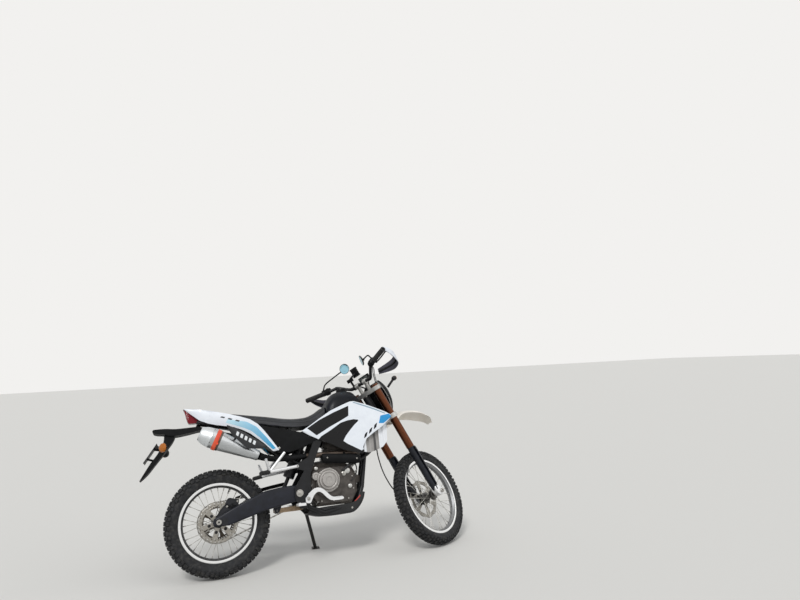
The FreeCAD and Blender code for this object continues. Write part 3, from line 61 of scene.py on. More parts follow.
# Local frames, read from the joints
REAR_R = 313.0
AXLE_X, AXLE_Z = 46.3, 334.5
RAKE = math.radians(26)
axle_line = unit(joints["rear_wheel_spin"]["axis"])
steer_line = unit(joints["steering_turn"]["axis"])
front_line = unit(joints["front_wheel_spin"]["axis"])
across = np.cross(axle_line, steer_line)
forward = math.cos(RAKE) * across - math.sin(RAKE) * steer_line
upward = math.sin(RAKE) * across + math.cos(RAKE) * steer_line
FRAMES = {"machine": (np.array([forward, axle_line, upward]),
    np.array(joints["rear_wheel_spin"]["pos_m"]) - upward * REAR_R / 1000),
    "steering": (np.array([np.cross(front_line, steer_line), front_line, steer_line]),
    np.array(joints["steering_turn"]["pos_m"]) - steer_line)}
LEFT, RIGHT, UP, AHEAD = (0, 1, 0), (0, -1, 0), (0, 0, 1), (1, 0, 0)


def to_world(points, place="machine"):
    """Local millimetres to the model's metres: origin plus each coordinate along its axis."""
    axes, origin = FRAMES[place]
    return origin + np.asarray(points, float) @ axes / 1000


def to_machine(spots):
    """The model's metres turned into the machine's millimetres."""
    axes, origin = FRAMES["machine"]
    return (np.asarray(spots) - origin) @ axes.T * 1000


# Camera, fitted to the wheels and bars in the photograph
CAMERA_AT = (-0.7709, -4.0789, 1.2292)
YAW, PITCH, ROLL = math.radians(19.438), math.radians(-5.842), math.radians(-2.731)
FOCAL_PIXELS = 601.0
look = np.array([math.sin(YAW) * math.cos(PITCH), math.cos(YAW) * math.cos(PITCH), -math.sin(PITCH)])
level = np.array([math.cos(YAW), -math.sin(YAW), 0.0])
over = np.cross(level, look)
right_hand = level * math.cos(ROLL) + over * math.sin(ROLL)
top_hand = -level * math.sin(ROLL) + over * math.cos(ROLL)
camera_data = bpy.data.cameras.new("camera")
camera_data.sensor_width = 36.0
camera_data.lens = FOCAL_PIXELS / 800 * 36.0
camera_data.clip_end = 200.0
camera = bpy.data.objects.new("camera", camera_data)
bpy.context.scene.collection.objects.link(camera)
camera.matrix_world = Matrix([[right_hand[i], top_hand[i], -look[i], CAMERA_AT[i]] for i in range(3)]
    + [[0, 0, 0, 1]])
bpy.context.scene.camera = camera

# Materials
CAST_GRAIN = 1.6  # size of the grain in a casting's skin
STREAK = (1.0, 1.0, 14.0)  # how drawn metal's streaks are stretched
SOFT_EDGE = 0.0005  # half the width, in metres, over which one flat colour gives way to the next


def linear(code):
    """The linear colour of an sRGB hex code: divided by 12.92 near black, and a 2.4 power above."""
    values = [int(code[i:i + 2], 16) / 255 for i in (1, 3, 5)]
    return tuple(v / 12.92 if v <= 0.04045 else ((v + 0.055) / 1.055) ** 2.4 for v in values) + (1.0,)


def add(tree, kind, inputs=None, **settings):
    """Adds one node, sets its properties, and fills or links its inputs."""
    node = tree.nodes.new("ShaderNode" + kind)
    for key, value in settings.items():
        setattr(node, key, value)
    for key, value in (inputs or {}).items():
        if isinstance(value, bpy.types.NodeSocket):
            tree.links.new(value, node.inputs[key])
        else:
            node.inputs[key].default_value = value
    return node


def blank(name, inputs=None):
    """A material with one Principled shader, and its tree, shader and Object coordinates."""
    material = bpy.data.materials.new(name)
    material.use_nodes = True
    tree = material.node_tree
    tree.nodes.clear()
    shader = add(tree, "BsdfPrincipled", inputs)
    tree.links.new(shader.outputs[0], add(tree, "OutputMaterial").inputs[0])
    place = add(tree, "TexCoord").outputs["Object"]
    return material, tree, shader, place


def noise(tree, place, scale, detail, rough=0.5):
    """Cloudy values from 0 to 1."""
    return add(tree, "TexNoise", {"Vector": place, "Scale": scale, "Detail": detail,
        "Roughness": rough}).outputs["Fac"]


def ramp(tree, value, low, high, start=0.0, end=1.0):
    """A value carried from one range into another."""
    return add(tree, "MapRange", {"Value": value, "From Min": low, "From Max": high, "To Min": start,
        "To Max": end}).outputs[0]


def mix(tree, factor, first, second):
    """One colour over another by a factor from 0 to 1."""
    node = tree.nodes.new("ShaderNodeMix")
    node.data_type = "RGBA"
    for index, value in ((0, factor), (6, first), (7, second)):
        if isinstance(value, bpy.types.NodeSocket):
            tree.links.new(value, node.inputs[index])
        else:
            node.inputs[index].default_value = value
    return node.outputs[2]


def mottled(tree, place, dark, light, patch_mm, detail=4.0, low=0.35, high=0.65):
    """Colour that wanders between two shades in patches of that size."""
    spread = ramp(tree, noise(tree, place, 1000.0 / patch_mm, detail), low, high)
    return mix(tree, spread, linear(dark), linear(light))


def bumped(tree, shader, height, depth_mm):
    """Relief from a height between 0 and 1, that many millimetres deep."""
    bump = add(tree, "Bump", {"Height": height, "Distance": depth_mm / 1000, "Strength": 1.0})
    tree.links.new(bump.outputs[0], shader.inputs["Normal"])


def pebbled(tree, shader, place, grain_mm, depth_mm):
    """Relief of round grains of that size."""
    grain = add(tree, "TexVoronoi", {"Vector": place, "Scale": 1000.0 / grain_mm}).outputs["Distance"]
    bumped(tree, shader, grain, depth_mm)


def varied_gloss(tree, shader, place, patch_mm, low, high):
    """Roughness that wanders between two values."""
    cloud = noise(tree, place, 1000.0 / patch_mm, 3.0)
    tree.links.new(ramp(tree, cloud, 0.3, 0.7, low, high), shader.inputs["Roughness"])


def injection_moulded(name, dark, light, rough, grain_mm=0.0, coat=0.0, shine=0.5):
    """Moulded plastic: even colour, soft variation in gloss, and a spark-eroded grain where it has one."""
    material, tree, shader, place = blank(name, {"IOR": 1.5, "Coat Weight": coat, "Coat Roughness": 0.12,
        "Specular IOR Level": shine})
    tree.links.new(mottled(tree, place, dark, light, 60.0), shader.inputs["Base Color"])
    varied_gloss(tree, shader, place, 25.0, rough * 0.85, rough * 1.15)
    if grain_mm:
        pebbled(tree, shader, place, grain_mm, grain_mm * 0.12)
    return material


def cast_alloy(name, dark, light, rough, metal=1.0):
    """Sand or die cast aluminium: grainy skin, its colour mottled in patches."""
    material, tree, shader, place = blank(name, {"Metallic": metal})
    tree.links.new(mottled(tree, place, dark, light, 26.0, 5.0, 0.2, 0.8), shader.inputs["Base Color"])
    varied_gloss(tree, shader, place, 9.0, rough * 0.8, rough * 1.2)
    bumped(tree, shader, noise(tree, place, 1000.0 / CAST_GRAIN, 2.0), 0.15)
    return material


def turned_metal(name, dark, light, rough):
    """Drawn or polished metal: fine streaks one way, and a smooth skin."""
    material, tree, shader, place = blank(name, {"Metallic": 1.0})
    streak = add(tree, "Mapping", {"Vector": place, "Scale": STREAK}).outputs[0]
    tree.links.new(mottled(tree, streak, dark, light, 9.0, 6.0), shader.inputs["Base Color"])
    varied_gloss(tree, shader, streak, 4.0, rough * 0.75, rough * 1.25)
    return material


def sprayed_steel(name, dark, light, rough):
    """Painted steel: a thin even coat with a little orange peel and dust in patches."""
    material, tree, shader, place = blank(name, {"Coat Weight": 0.06, "Coat Roughness": 0.25,
        "Specular IOR Level": 0.3})
    tree.links.new(mottled(tree, place, dark, light, 40.0, 6.0), shader.inputs["Base Color"])
    varied_gloss(tree, shader, place, 12.0, rough * 0.8, rough * 1.2)
    bumped(tree, shader, noise(tree, place, 350.0, 1.0), 0.08)
    return material


def moulded_rubber(name, dark, light, rough, dust="#8C8272", dusty=0.35):
    """Vulcanised rubber: dull black with road dust settled in patches."""
    material, tree, shader, place = blank(name)
    base = mottled(tree, place, dark, light, 30.0, 6.0)
    settled = ramp(tree, noise(tree, place, 45.0, 8.0, 0.7), 0.48, 0.75, 0.0, dusty)
    tree.links.new(mix(tree, settled, base, linear(dust)), shader.inputs["Base Color"])
    varied_gloss(tree, shader, place, 14.0, rough * 0.9, rough * 1.1)
    bumped(tree, shader, noise(tree, place, 700.0, 2.0), 0.2)
    return material


def clear_lens(name, colour, through=0.55):
    """Tinted acrylic over a ribbed reflector: deep colour, sharp gloss, and moulded prisms inside."""
    material, tree, shader, place = blank(name, {"IOR": 1.49, "Transmission Weight": through,
        "Roughness": 0.08, "Specular IOR Level": 0.3})
    tree.links.new(mottled(tree, place, colour, colour, 20.0), shader.inputs["Base Color"])
    ribs = add(tree, "TexWave", {"Vector": place, "Scale": 60.0}, bands_direction="Z").outputs["Fac"]
    bumped(tree, shader, ribs, 0.5)
    return material


def masked(tree, base, name, code):
    """The base colour with a flat colour laid where the piece's own edge distance is above zero."""
    edge = add(tree, "Attribute", attribute_name=name).outputs["Fac"]
    inside = ramp(tree, edge, -SOFT_EDGE, SOFT_EDGE)
    return mix(tree, inside, base, linear(code) if isinstance(code, str) else code)


def overlaid(material, zones):
    """Lays flat colour areas on a material in order, each over the last."""
    tree = material.node_tree
    shader = next(node for node in tree.nodes if node.type == "BSDF_PRINCIPLED")
    colour = shader.inputs["Base Color"].links[0].from_socket
    for zone, code in zones:
        colour = masked(tree, colour, zone, code)
    tree.links.new(colour, shader.inputs["Base Color"])
    return material


# Gloss ABS of the panels: cool white, a wet-looking coat
panel_white = injection_moulded("abs_panel_white", "#DFE3E9", "#E5E9EE", 0.3, coat=0.3)
# Unpainted polypropylene of the fender: white and duller, its warm cream tint painted shade
fender_cream = injection_moulded("polypropylene_fender_painted_warm_shade", "#EAE3D7", "#F4EEE4", 0.42)
# Grained polypropylene of the black trim
panel_black = injection_moulded("grained_polypropylene_black", "#08090A", "#0E0F11", 0.6, grain_mm=1.1,
    shine=0.15)
# Gloss enamel of the tank: near black with a blue cast
tank_enamel = injection_moulded("tank_enamel_navy", "#05080E", "#090E18", 0.45, coat=0.04, shine=0.18)
# Sprayed steel of the frame
frame_black = sprayed_steel("frame_steel_black", "#0B0C0E", "#141518", 0.48)
arm_grey = sprayed_steel("swingarm_steel_graphite", "#10121A", "#191C26", 0.42)
stand_black = sprayed_steel("stand_steel_black", "#111111", "#1E1D1B", 0.5)
# Cast aluminium of the engine, hubs and clamps
engine_grey = cast_alloy("engine_cast_alloy", "#3A3735", "#57534F", 0.5)
cover_silver = cast_alloy("cover_cast_alloy", "#77736F", "#A5A29F", 0.42)
hub_alloy = cast_alloy("hub_cast_alloy", "#4C4B4A", "#767472", 0.45)
clamp_silver = cast_alloy("clamp_forged_alloy", "#A9A8A5", "#C9C8C4", 0.36, metal=0.7)
# Forged aluminium of the pedals and peg brackets: near-white and only half metallic, a painted highlight for the
# sun's reflection on polished metal
pedal_alloy = cast_alloy("pedal_alloy_painted_glare", "#D6D6D6", "#EAEAEA", 0.34, metal=0.45)
link_alloy = cast_alloy("link_cast_alloy", "#7A6A58", "#A8937B", 0.45)
core_alloy = cast_alloy("radiator_alloy", "#55565A", "#7A7B7F", 0.5)
caliper_dark = cast_alloy("caliper_painted_alloy", "#2A2B2D", "#3C3D40", 0.5)
# Drawn and rolled metal
muffler_steel = turned_metal("muffler_satin_steel", "#A9ACAE", "#CDD0D2", 0.34)
header_steel = turned_metal("header_heated_steel", "#4B4440", "#7A6C62", 0.42)
axle_steel = turned_metal("axle_plated_steel", "#8E8C88", "#C0BEB9", 0.3)
disc_steel = turned_metal("disc_ground_steel", "#83807A", "#A9A59D", 0.34)
chain_steel = turned_metal("chain_oiled_steel", "#3A3631", "#6E675D", 0.45)
rim_alloy = turned_metal("rim_polished_alloy", "#DEDFE0", "#F3F3F2", 0.24)
# Rim well: the same alloy, drawn darker as painted shade inside the rim, and rougher
rim_well_painted_shade = turned_metal("rim_well_alloy_painted_shade", "#77787A", "#98999A", 0.45)
spoke_steel = turned_metal("spoke_stainless", "#A9A8A4", "#D4D2CC", 0.25)
# Anodised and hard coated tubes
tube_copper = turned_metal("fork_anodised_copper", "#4B291B", "#6E4430", 0.36)
leg_black = sprayed_steel("fork_leg_satin_black", "#0F1218", "#191C25", 0.46)
bar_black = sprayed_steel("bar_powder_black", "#0C0C0E", "#151518", 0.45)
# Rubber and vinyl
tyre_rubber = moulded_rubber("tyre_rubber_dusty", "#121315", "#1E1F22", 0.82, dust="#77736B", dusty=0.26)
grip_rubber = moulded_rubber("grip_rubber", "#141415", "#1E1E20", 0.75, dusty=0.1)
hose_rubber = moulded_rubber("hose_rubber", "#121213", "#1C1C1E", 0.6, dusty=0.1)
# Lenses
lens_orange = clear_lens("acrylic_amber", "#F08A22")
lens_red = clear_lens("acrylic_dark_red", "#7A0A1B", through=0.05)
lamp_glass = clear_lens("polycarbonate_clear", "#DDE6EC", through=0.8)
# Rubber strap round the muffler
strap_orange = injection_moulded("silicone_strap_orange", "#D2452A", "#E35C38", 0.5)
# Second-surface mirror with a blue cast
mirror_face = turned_metal("mirror_silvered_glass", "#8FC4D8", "#A9D8E8", 0.04)

SLOTS = {"frame_black": frame_black, "engine_grey": engine_grey, "cover_silver": cover_silver,
    "header_steel": header_steel, "guard_black": panel_black, "muffler_steel": muffler_steel,
    "tank_black": tank_enamel, "cap_black": panel_black, "seat_black": panel_black,
    "panel_white": panel_white, "fender_cream": fender_cream, "panel_black": panel_black,
    "lens_red": lens_red, "lens_orange": lens_orange, "arm_grey": arm_grey, "spring_steel": frame_black,
    "link_alloy": link_alloy, "core_alloy": core_alloy, "chain_steel": chain_steel,
    "axle_steel": axle_steel, "caliper_dark": caliper_dark, "skid_black": panel_black,
    "pedal_alloy": pedal_alloy, "stand_black": stand_black, "tyre_rubber": tyre_rubber,
    "rim_alloy": rim_alloy, "hub_alloy": hub_alloy, "disc_steel": disc_steel, "clamp_silver": clamp_silver,
    "tube_copper": tube_copper, "leg_black": leg_black, "lamp_glass": lamp_glass, "bar_black": bar_black,
    "grip_rubber": grip_rubber, "lever_black": bar_black, "guard_white": panel_white,
    "mirror_face": mirror_face, "hose_rubber": hose_rubber}
for part in frame["record"]["subparts"]:
    carried = nodes[part["node"]]
    carried.data.materials.clear()
    carried.data.materials.append(SLOTS[part["material_slot"]])


# Shapes, worked out as arrays
def grid_faces(rows, columns, close_rows=False, close_columns=False, start=0):
    """Four-sided faces between neighbouring rows and columns of a grid of points."""
    i, j = np.meshgrid(np.arange(rows if close_rows else rows - 1),
        np.arange(columns if close_columns else columns - 1), indexing="ij")
    next_i, next_j = (i + 1) % rows, (j + 1) % columns
    return start + np.stack([i * columns + j, i * columns + next_j, next_i * columns + next_j,
        next_i * columns + j], -1).reshape(-1, 4)


def frames_along(path):
    """Two directions square to a path at each of its points, carried along with the least turning."""
    tangent = np.gradient(path, axis=0)
    tangent /= np.linalg.norm(tangent, axis=1)[:, None]
    first = np.cross(tangent[0], LEFT)
    if np.linalg.norm(first) < 0.2:
        first = np.cross(tangent[0], AHEAD)
    side = [unit(first)]
    for step in tangent[1:]:
        side.append(unit(side[-1] - step * np.dot(side[-1], step)))
    side = np.array(side)
    return side, np.cross(tangent, side)


def rings_joined(rings):
    """Closed outlines of as many points joined in order, with both ends closed."""
    rings = np.asarray(rings, float)
    rows, columns = rings.shape[:2]
    faces = grid_faces(rows, columns, close_columns=True).tolist()
    faces.append(list(range(columns - 1, -1, -1)))
    faces.append(list(range((rows - 1) * columns, rows * columns)))
    return rings.reshape(-1, 3), faces


def tube(path, radius, sides=14):
    """A circle carried along a path: centre plus cosine and sine of the angle on two square axes."""
    path = np.asarray(path, float)
    side, up = frames_along(path)
    angle = np.arange(sides) * 2 * math.pi / sides
    radius = np.broadcast_to(np.asarray(radius, float), (len(path),))[:, None, None]
    ring = side[:, None] * np.cos(angle)[None, :, None] + up[:, None] * np.sin(angle)[None, :, None]
    return rings_joined(path[:, None] + radius * ring)


def smooth_path(points, per_run=8):
    """A curve through the points: each run a cubic whose end slopes come from both neighbours."""
    points = np.asarray(points, float)
    padded = np.vstack([2 * points[0] - points[1], points, 2 * points[-1] - points[-2]])
    t = np.linspace(0, 1, per_run, endpoint=False)[:, None]
    runs = []
    for a, b, c, d in zip(padded[:-3], padded[1:-2], padded[2:-1], padded[3:]):
        runs.append(0.5 * (2 * b + (c - a) * t + (2 * a - 5 * b + 4 * c - d) * t ** 2
            + (3 * b - a - 3 * c + d) * t ** 3))
    return np.vstack(runs + [points[-1:]])


def lathe(profile, centre=(0, 0, 0), axis=LEFT, sides=96, closed=True):
    """A closed profile of (radius, height along the axis) turned round that axis."""
    profile = np.asarray(profile, float)
    axis = unit(axis)
    first = unit(np.cross(axis, UP if abs(axis[2]) < 0.9 else LEFT))
    second = np.cross(axis, first)
    angle = np.arange(sides) * 2 * math.pi / sides
    ring = np.cos(angle)[:, None] * first + np.sin(angle)[:, None] * second
    points = (np.asarray(centre, float) + profile[None, :, :1] * ring[:, None] + profile[None, :, 1:]
        * axis).reshape(-1, 3)
    faces = grid_faces(sides, len(profile), close_rows=True, close_columns=closed)
    return points, faces.tolist()


def spun(profile, centre=(0, 0, 0), axis=LEFT, sides=96):
    """A profile turned round an axis and left open between its last and first points."""
    return lathe(profile, centre, axis, sides, closed=False)


def prism(outline, low, high, level=1):
    """A flat outline pushed straight from one level to another along one axis, with both ends closed."""
    return rings_joined([np.insert(np.asarray(outline, float), level, at, axis=1) for at in (low, high)])


def points_at(x, y, z):
    """Points from three columns, each a row of values or one value for all."""
    return np.stack(np.broadcast_arrays(x, y, z), -1)


def shell(outer, inner):
    """One closed ring of a thin wall: out along one face and back along the other."""
    return np.vstack([outer, inner[::-1]])


def round_about(angle):
    """The direction square to a wheel's axle at that angle."""
    return np.array([math.cos(angle), 0, math.sin(angle)])


def web(angle, stations):
    """Outline of an arm that runs outwards at an angle, from pairs of radius and half width."""
    way = np.array([math.cos(angle), math.sin(angle)])
    turn = np.array([-math.sin(angle), math.cos(angle)])
    ahead = [way * r - turn * half for r, half in stations]
    return ahead + [way * r + turn * half for r, half in reversed(stations)]


def rounded_corners(middle, half, corner, steps=4):
    """Points round a rectangle with rounded corners, from its middle and half sizes."""
    points = []
    for first, second, start in ((1, 1, 0), (-1, 1, 1), (-1, -1, 2), (1, -1, 3)):
        for step in range(steps + 1):
            angle = (start + step / steps) * math.pi / 2
            points.append((middle[0] + first * (half[0] - corner) + corner * math.cos(angle),
                middle[1] + second * (half[1] - corner) + corner * math.sin(angle)))
    return points


def mirrored_section(x, half):
    """A ring across the machine from the outline of its left half, which ends on the middle line."""
    full = np.vstack([half, half[-2::-1] * (-1, 1)])
    return points_at(x, full[:, 0], full[:, 1])


def vertex_values(mesh, name):
    """Three numbers for each vertex of a mesh."""
    values = np.empty(len(mesh.vertices) * 3)
    mesh.vertices.foreach_get(name, values)
    return values.reshape(-1, 3)


MERGE = 0.00005  # points closer than this, in metres, become one


class Stock:
    """Shapes gathered into one mesh, each with its own finish."""

    def __init__(self):
        self.points = []
        self.faces = []
        self.finish = []
        self.count = 0

    def put(self, shape, finish=0):
        """Adds a shape's points and faces."""
        points, faces = shape
        self.points.append(np.asarray(points, float))
        self.faces += [[index + self.count for index in face] for face in faces]
        self.finish += [finish] * len(faces)
        self.count += len(points)
        return self

    def moved(self, way):
        """Moves all shapes so far."""
        self.points = [points + way for points in self.points]
        return self

    def both(self, shape, finish=0):
        """Adds a shape and its mirror image."""
        self.put(shape, finish)
        self.put((np.asarray(shape[0], float) * (1, -1, 1), [face[::-1] for face in shape[1]]), finish)
        return self

    def make(self, name, finishes, slot, replaces=(), body="chassis", bevel=0.0, sharp=40.0):
        """Builds the mesh, points its faces outwards, rounds its edges and gives it to a body."""
        mesh = bpy.data.meshes.new(name)
        place = "steering" if body in ("steering", "front_wheel") else "machine"
        mesh.from_pydata(to_world(np.vstack(self.points), place).tolist(), [], self.faces)
        mesh.polygons.foreach_set("material_index", self.finish)
        for finish in finishes:
            mesh.materials.append(finish)
        work = bmesh.new()
        work.from_mesh(mesh)
        bmesh.ops.remove_doubles(work, verts=work.verts, dist=MERGE)
        bmesh.ops.recalc_face_normals(work, faces=work.faces)
        work.to_mesh(mesh)
        work.free()
        piece = bpy.data.objects.new(name, mesh)
        bpy.context.scene.collection.objects.link(piece)
        mesh.shade_smooth()
        mesh.set_sharp_from_angle(angle=math.radians(sharp))
        if bevel:
            rounding = piece.modifiers.new("rounded_edges", "BEVEL")
            rounding.width = bevel / 1000
            rounding.segments = 2
            rounding.limit_method = "ANGLE"
            rounding.angle_limit = math.radians(35)
            rounding.harden_normals = True
        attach(piece, body)
        if replaces:
            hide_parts(*([replaces] if isinstance(replaces, str) else replaces))
        return piece


# Wheels
LUG_HEIGHT = 9.0
SHOULDER = 0.85  # power of the sine across the tyre: less is squarer
LIP = [(-1, 0.4), (0, 2), (4, 4), (10, 5), (16, 4), (14, -3), (2, 0.4)]  # from the rim's edge
SPOKES = 32


def tyre_section(rim_r, crown_r, half):
    """Radius and place across a tyre: an ellipse from bead to bead, squarer at the shoulders."""
    middle = rim_r + (crown_r - rim_r) * 0.52
    angle = np.linspace(math.radians(-128), math.radians(128), 28)
    squared = np.sign(np.sin(angle)) * np.abs(np.sin(angle)) ** SHOULDER
    radius = middle + np.where(np.cos(angle) > 0, crown_r - middle, middle - rim_r + 12) * np.cos(angle)
    return np.stack([radius, half * squared], 1), middle


def tread(theta, reach, height, crown_r, middle, half):
    """A point over the tyre: wheel angle, arc length across from the crown, and height above the rubber."""
    angle = reach / (0.5 * (crown_r - middle + half))
    radius = middle + (crown_r - middle + height) * np.cos(angle)
    aside = (half + height) * np.sign(np.sin(angle)) * np.abs(np.sin(angle)) ** SHOULDER
    return points_at(radius * np.cos(theta), aside, radius * np.sin(theta))


def lug_block(along, wide, height, skew):
    """Twelve points of a tapered block with a chamfered top, and its faces, in tread coordinates."""
    corners = np.array([(-1, -1), (1, -1), (1, 1), (-1, 1)], float) * (along / 2, wide / 2)
    layers = []
    for scale, level in ((1.12, -1.5), (0.98, height - 1.5), (0.84, height)):
        spot = corners * scale
        layers.append(points_at(spot[:, 0] + spot[:, 1] * skew, spot[:, 1], level))
    faces = grid_faces(3, 4, close_columns=True).tolist() + [[8, 9, 10, 11]]
    return np.vstack(layers), faces


def tyre_piece(label, centre, rim_r, rim_half, tip_r, half, pitches, pattern):
    """Casing with rounded shoulders, bead rings, a lip over the rim and rows of chamfered lugs."""
    crown = tip_r - LUG_HEIGHT
    section, middle = tyre_section(rim_r, crown, half - 6)
    stock = Stock().put(lathe(section, sides=120))
    for ring_r, reach in ((rim_r + 9, 0.80), (rim_r + 20, 0.93)):
        swell = [(ring_r + 1.6 * math.cos(a), (half - 7) * reach + 1.6 * math.sin(a))
            for a in np.linspace(0, 2 * math.pi, 7)[:-1]]
        stock.both(lathe(swell))
    stock.both(lathe(np.array([rim_r, rim_half]) + LIP, sides=120))
    for row in range(pitches):
        for spot, along, wide, shift, skew, height in pattern[row % 2]:
            points, faces = lug_block(along, wide, height, skew)
            theta = (row + shift) * 2 * math.pi / pitches + points[:, 0] / crown
            stock.put((tread(theta, points[:, 1] + spot, points[:, 2], crown, middle, half - 6), faces))
    stock.moved(centre).make(label + "_tyre_tread", [tyre_rubber], "tyre_rubber", label + "_tyre",
        label + "_wheel", sharp=32)


def pair(spot, *rest):
    """A lug and its mirror image, whose skew is the other way."""
    along, wide, shift, skew, height = rest
    return [(-spot, *rest), (spot, along, wide, shift, -skew, height)]


# Lugs of two alternate rows: place across, length, width, shift along, skew, height
REAR_LUGS = [pair(13, 25, 22, 0.0, 0.12, 8.4) + pair(43, 25, 21, 0.1, 0.0, 7.6),
    [(0, 23, 25, 0.0, 0.0, 8.4)] + pair(31, 24, 19, 0.0, 0.1, 8.2) + pair(52, 23, 19, 0.1, 0.0, 6.8)]
FRONT_LUGS = [pair(10, 19, 16, 0.0, 0.12, 9.0) + pair(34, 18, 16, 0.1, 0.0, 8.0)
    + pair(50, 18, 9, 0.1, 0.0, 5.0), [(0, 16, 18, 0.0, 0.0, 9.0)] + pair(24, 18, 14, 0.0, 0.1, 8.6)
    + pair(42, 16, 14, 0.1, 0.0, 7.0)]
REAR_CENTRE = np.array([0, 0, REAR_R])
FRONT_CENTRE = np.array([AXLE_X, 0, AXLE_Z])
REAR_RIM, REAR_RIM_HALF = 230, 33
FRONT_RIM, FRONT_RIM_HALF = 255, 25
tyre_piece("rear", REAR_CENTRE, REAR_RIM, REAR_RIM_HALF, 312.8, 54, 66, REAR_LUGS)
tyre_piece("front", FRONT_CENTRE, FRONT_RIM, FRONT_RIM_HALF, 320.8, 43, 72, FRONT_LUGS)


def rim_section(radius, half):
    """Radius and place across a rim: curled flanges, bead seats and a rounded well."""
    outer = [(radius - 1, -half + 0.6), (radius, -half + 2.2), (radius - 1.2, -half + 4),
        (radius - 10, -half + 5), (radius - 12, -half + 9), (radius - 13, -half * 0.62),
        (radius - 21, -half * 0.42), (radius - 23, 0)]
    inner = [(radius - 28, 0), (radius - 27.4, -half * 0.36), (radius - 20, -half * 0.66),
        (radius - 16.5, -half + 5), (radius - 15.5, -half + 1), (radius - 9, -half), (radius - 3, -half)]
    mirrored = [(r, -y) for r, y in reversed(outer[:-1])]
    under = [(r, -y) for r, y in reversed(inner)]
    return outer + mirrored + under + inner[1:]


def spoke_set(rim_r, rim_half, hub_half):
    """Laced spokes as thin tubes with nipples at the rim: each foot leads or trails by 38 degrees."""
    stock = Stock()
    for index in range(SPOKES):
        side = 1 if index % 2 else -1
        angle = 2 * math.pi * index / SPOKES
        lead = math.radians(38) * (1 if (index // 2) % 2 else -1)
        foot = round_about(angle + lead) * 34 + (0, side * (hub_half - 19.5), 0)
        head = round_about(angle) * (rim_r - 28.5) + (0, side * rim_half * 0.2, 0)
        way = unit(head - foot)
        stock.put(tube([foot, foot + way * 60, head - way * 14], 1.7, 6), 0)
        stock.put(tube([head - way * 16, head - way * 2, head], [2.9, 3.2, 2.4], 6), 1)
    return stock


def hub_section(half):
    """Radius and place across a hub: bearing lips, spoke flanges and a waisted barrel."""
    side = [(11, half), (20, half), (30, half - 1), (32, half - 3), (32, half - 9), (25, half - 13),
        (25, half - 16), (36, half - 17), (38, half - 18), (38, half - 21), (36, half - 22),
        (27, half - 24), (23, half - 32)]
    return side + [(r, -y) for r, y in reversed(side)]


for label, centre, rim_r, rim_half, hub_half in (("rear", REAR_CENTRE, REAR_RIM, REAR_RIM_HALF, 64),
        ("front", FRONT_CENTRE, FRONT_RIM, FRONT_RIM_HALF, 52)):
    section = rim_section(rim_r, rim_half)
    rim = Stock().put(lathe(section, centre, sides=144))
    # The well's faces take the darker alloy: painted shade inside the rim
    rim.finish = [2 if 16 < index % len(section) < 25 else 0 for index in range(len(rim.faces))]
    valve_way = np.array([0.35, 0, 0.937])
    rim.put(tube([centre + valve_way * (rim_r - 58), centre + valve_way * (rim_r - 27)], 3.4, 8), 1)
    rim.make(label + "_rim_polished", [rim_alloy, bar_black, rim_well_painted_shade], "rim_alloy", label + "_rim",
        label + "_wheel", sharp=35)
    lacing = spoke_set(rim_r, rim_half, hub_half).moved(centre)
    lacing.put(lathe(hub_section(hub_half), centre, sides=48), 2)
    lacing.make(label + "_hub_laced", [spoke_steel, axle_steel, hub_alloy], "hub_alloy", label + "_hub",
        label + "_wheel")

CELL = 16  # points round each hole of a drilled ring


def drilled_ring(inner, outer, cells, rows, hole, wave, waves, y_from, y_to):
    """A flat ring of square cells, each with a round hole; its outer edge follows a wave."""
    turn = np.arange(CELL) * 2 * math.pi / CELL
    circle = np.stack([np.cos(turn), np.sin(turn)], 1) * hole
    square = circle / np.abs(circle).max(1)[:, None]
    local = np.vstack([circle, square])
    points, faces = [], []
    for level in (y_from, y_to):
        for row in range(rows):
            for cell in range(cells):
                theta = (cell + 0.5 + local[:, 0] / 2) * 2 * math.pi / cells
                share = (row + 0.5 + local[:, 1] / 2) / rows
                radius = inner + (outer - inner) * share + wave * share * np.cos(waves * theta)
                faces += grid_faces(2, CELL, close_columns=True, start=len(points) * 2 * CELL).tolist()
                points.append(points_at(radius * np.cos(theta), level, radius * np.sin(theta)))
    half = rows * cells * 2 * CELL
    for start in range(0, half, 2 * CELL):
        faces += [[start + k, start + (k + 1) % CELL, half + start + (k + 1) % CELL, half + start + k]
            for k in range(CELL)]
    theta = np.arange(cells * 4) * 2 * math.pi / (cells * 4)
    for edge, swing in ((inner, 0), (outer, wave)):
        radius = edge + swing * np.cos(waves * theta)
        start = sum(len(p) for p in points)
        for level in (y_from, y_to):
            points.append(points_at(radius * np.cos(theta), level, radius * np.sin(theta)))
        faces += grid_faces(2, len(theta), close_columns=True, start=start).tolist()
    return np.vstack(points), faces


def brake_disc(label, centre, radius, mid):
    """A waved, drilled band on a six-armed carrier with rivets."""
    hub_r = 38
    stock = Stock().put(drilled_ring(radius - 27, radius - 3.2, 30, 2, 0.42, 3.0, 10, -2, 2), 0)
    for index in range(6):
        angle = index * math.pi / 3 + 0.26
        way = round_about(angle)
        stock.put(prism(web(angle, [(hub_r - 8, 17), (hub_r + 6, 12), (radius - 26, 15)]), -2.4, 1.6), 0)
        stock.put(spun([(0, -3.4), (5, -3.4), (6, -2), (6, 2.4), (5, 3.2), (0, 3.2)], way * (radius - 24),
            sides=12), 2)
        boss = [(0, -4.6), (8, -4.6), (9.4, -3.6), (9.4, 2.6), (8, 3.4), (0, 3.4)]
        stock.put(spun(boss, way * (hub_r + 18), sides=16), 1)
    stock.put(lathe([(hub_r - 14, -2.3), (hub_r + 4, -2.3), (hub_r + 4, 1.7), (hub_r - 14, 1.7)], sides=48),
        1)
    stock.moved(centre + (0, mid, 0)).make(label + "_disc_waved", [disc_steel, bar_black, axle_steel],
        "disc_steel", label + "_disc", label + "_wheel")


brake_disc("rear", REAR_CENTRE, 120, -66.3)
brake_disc("front", FRONT_CENTRE, 130, 54.3)


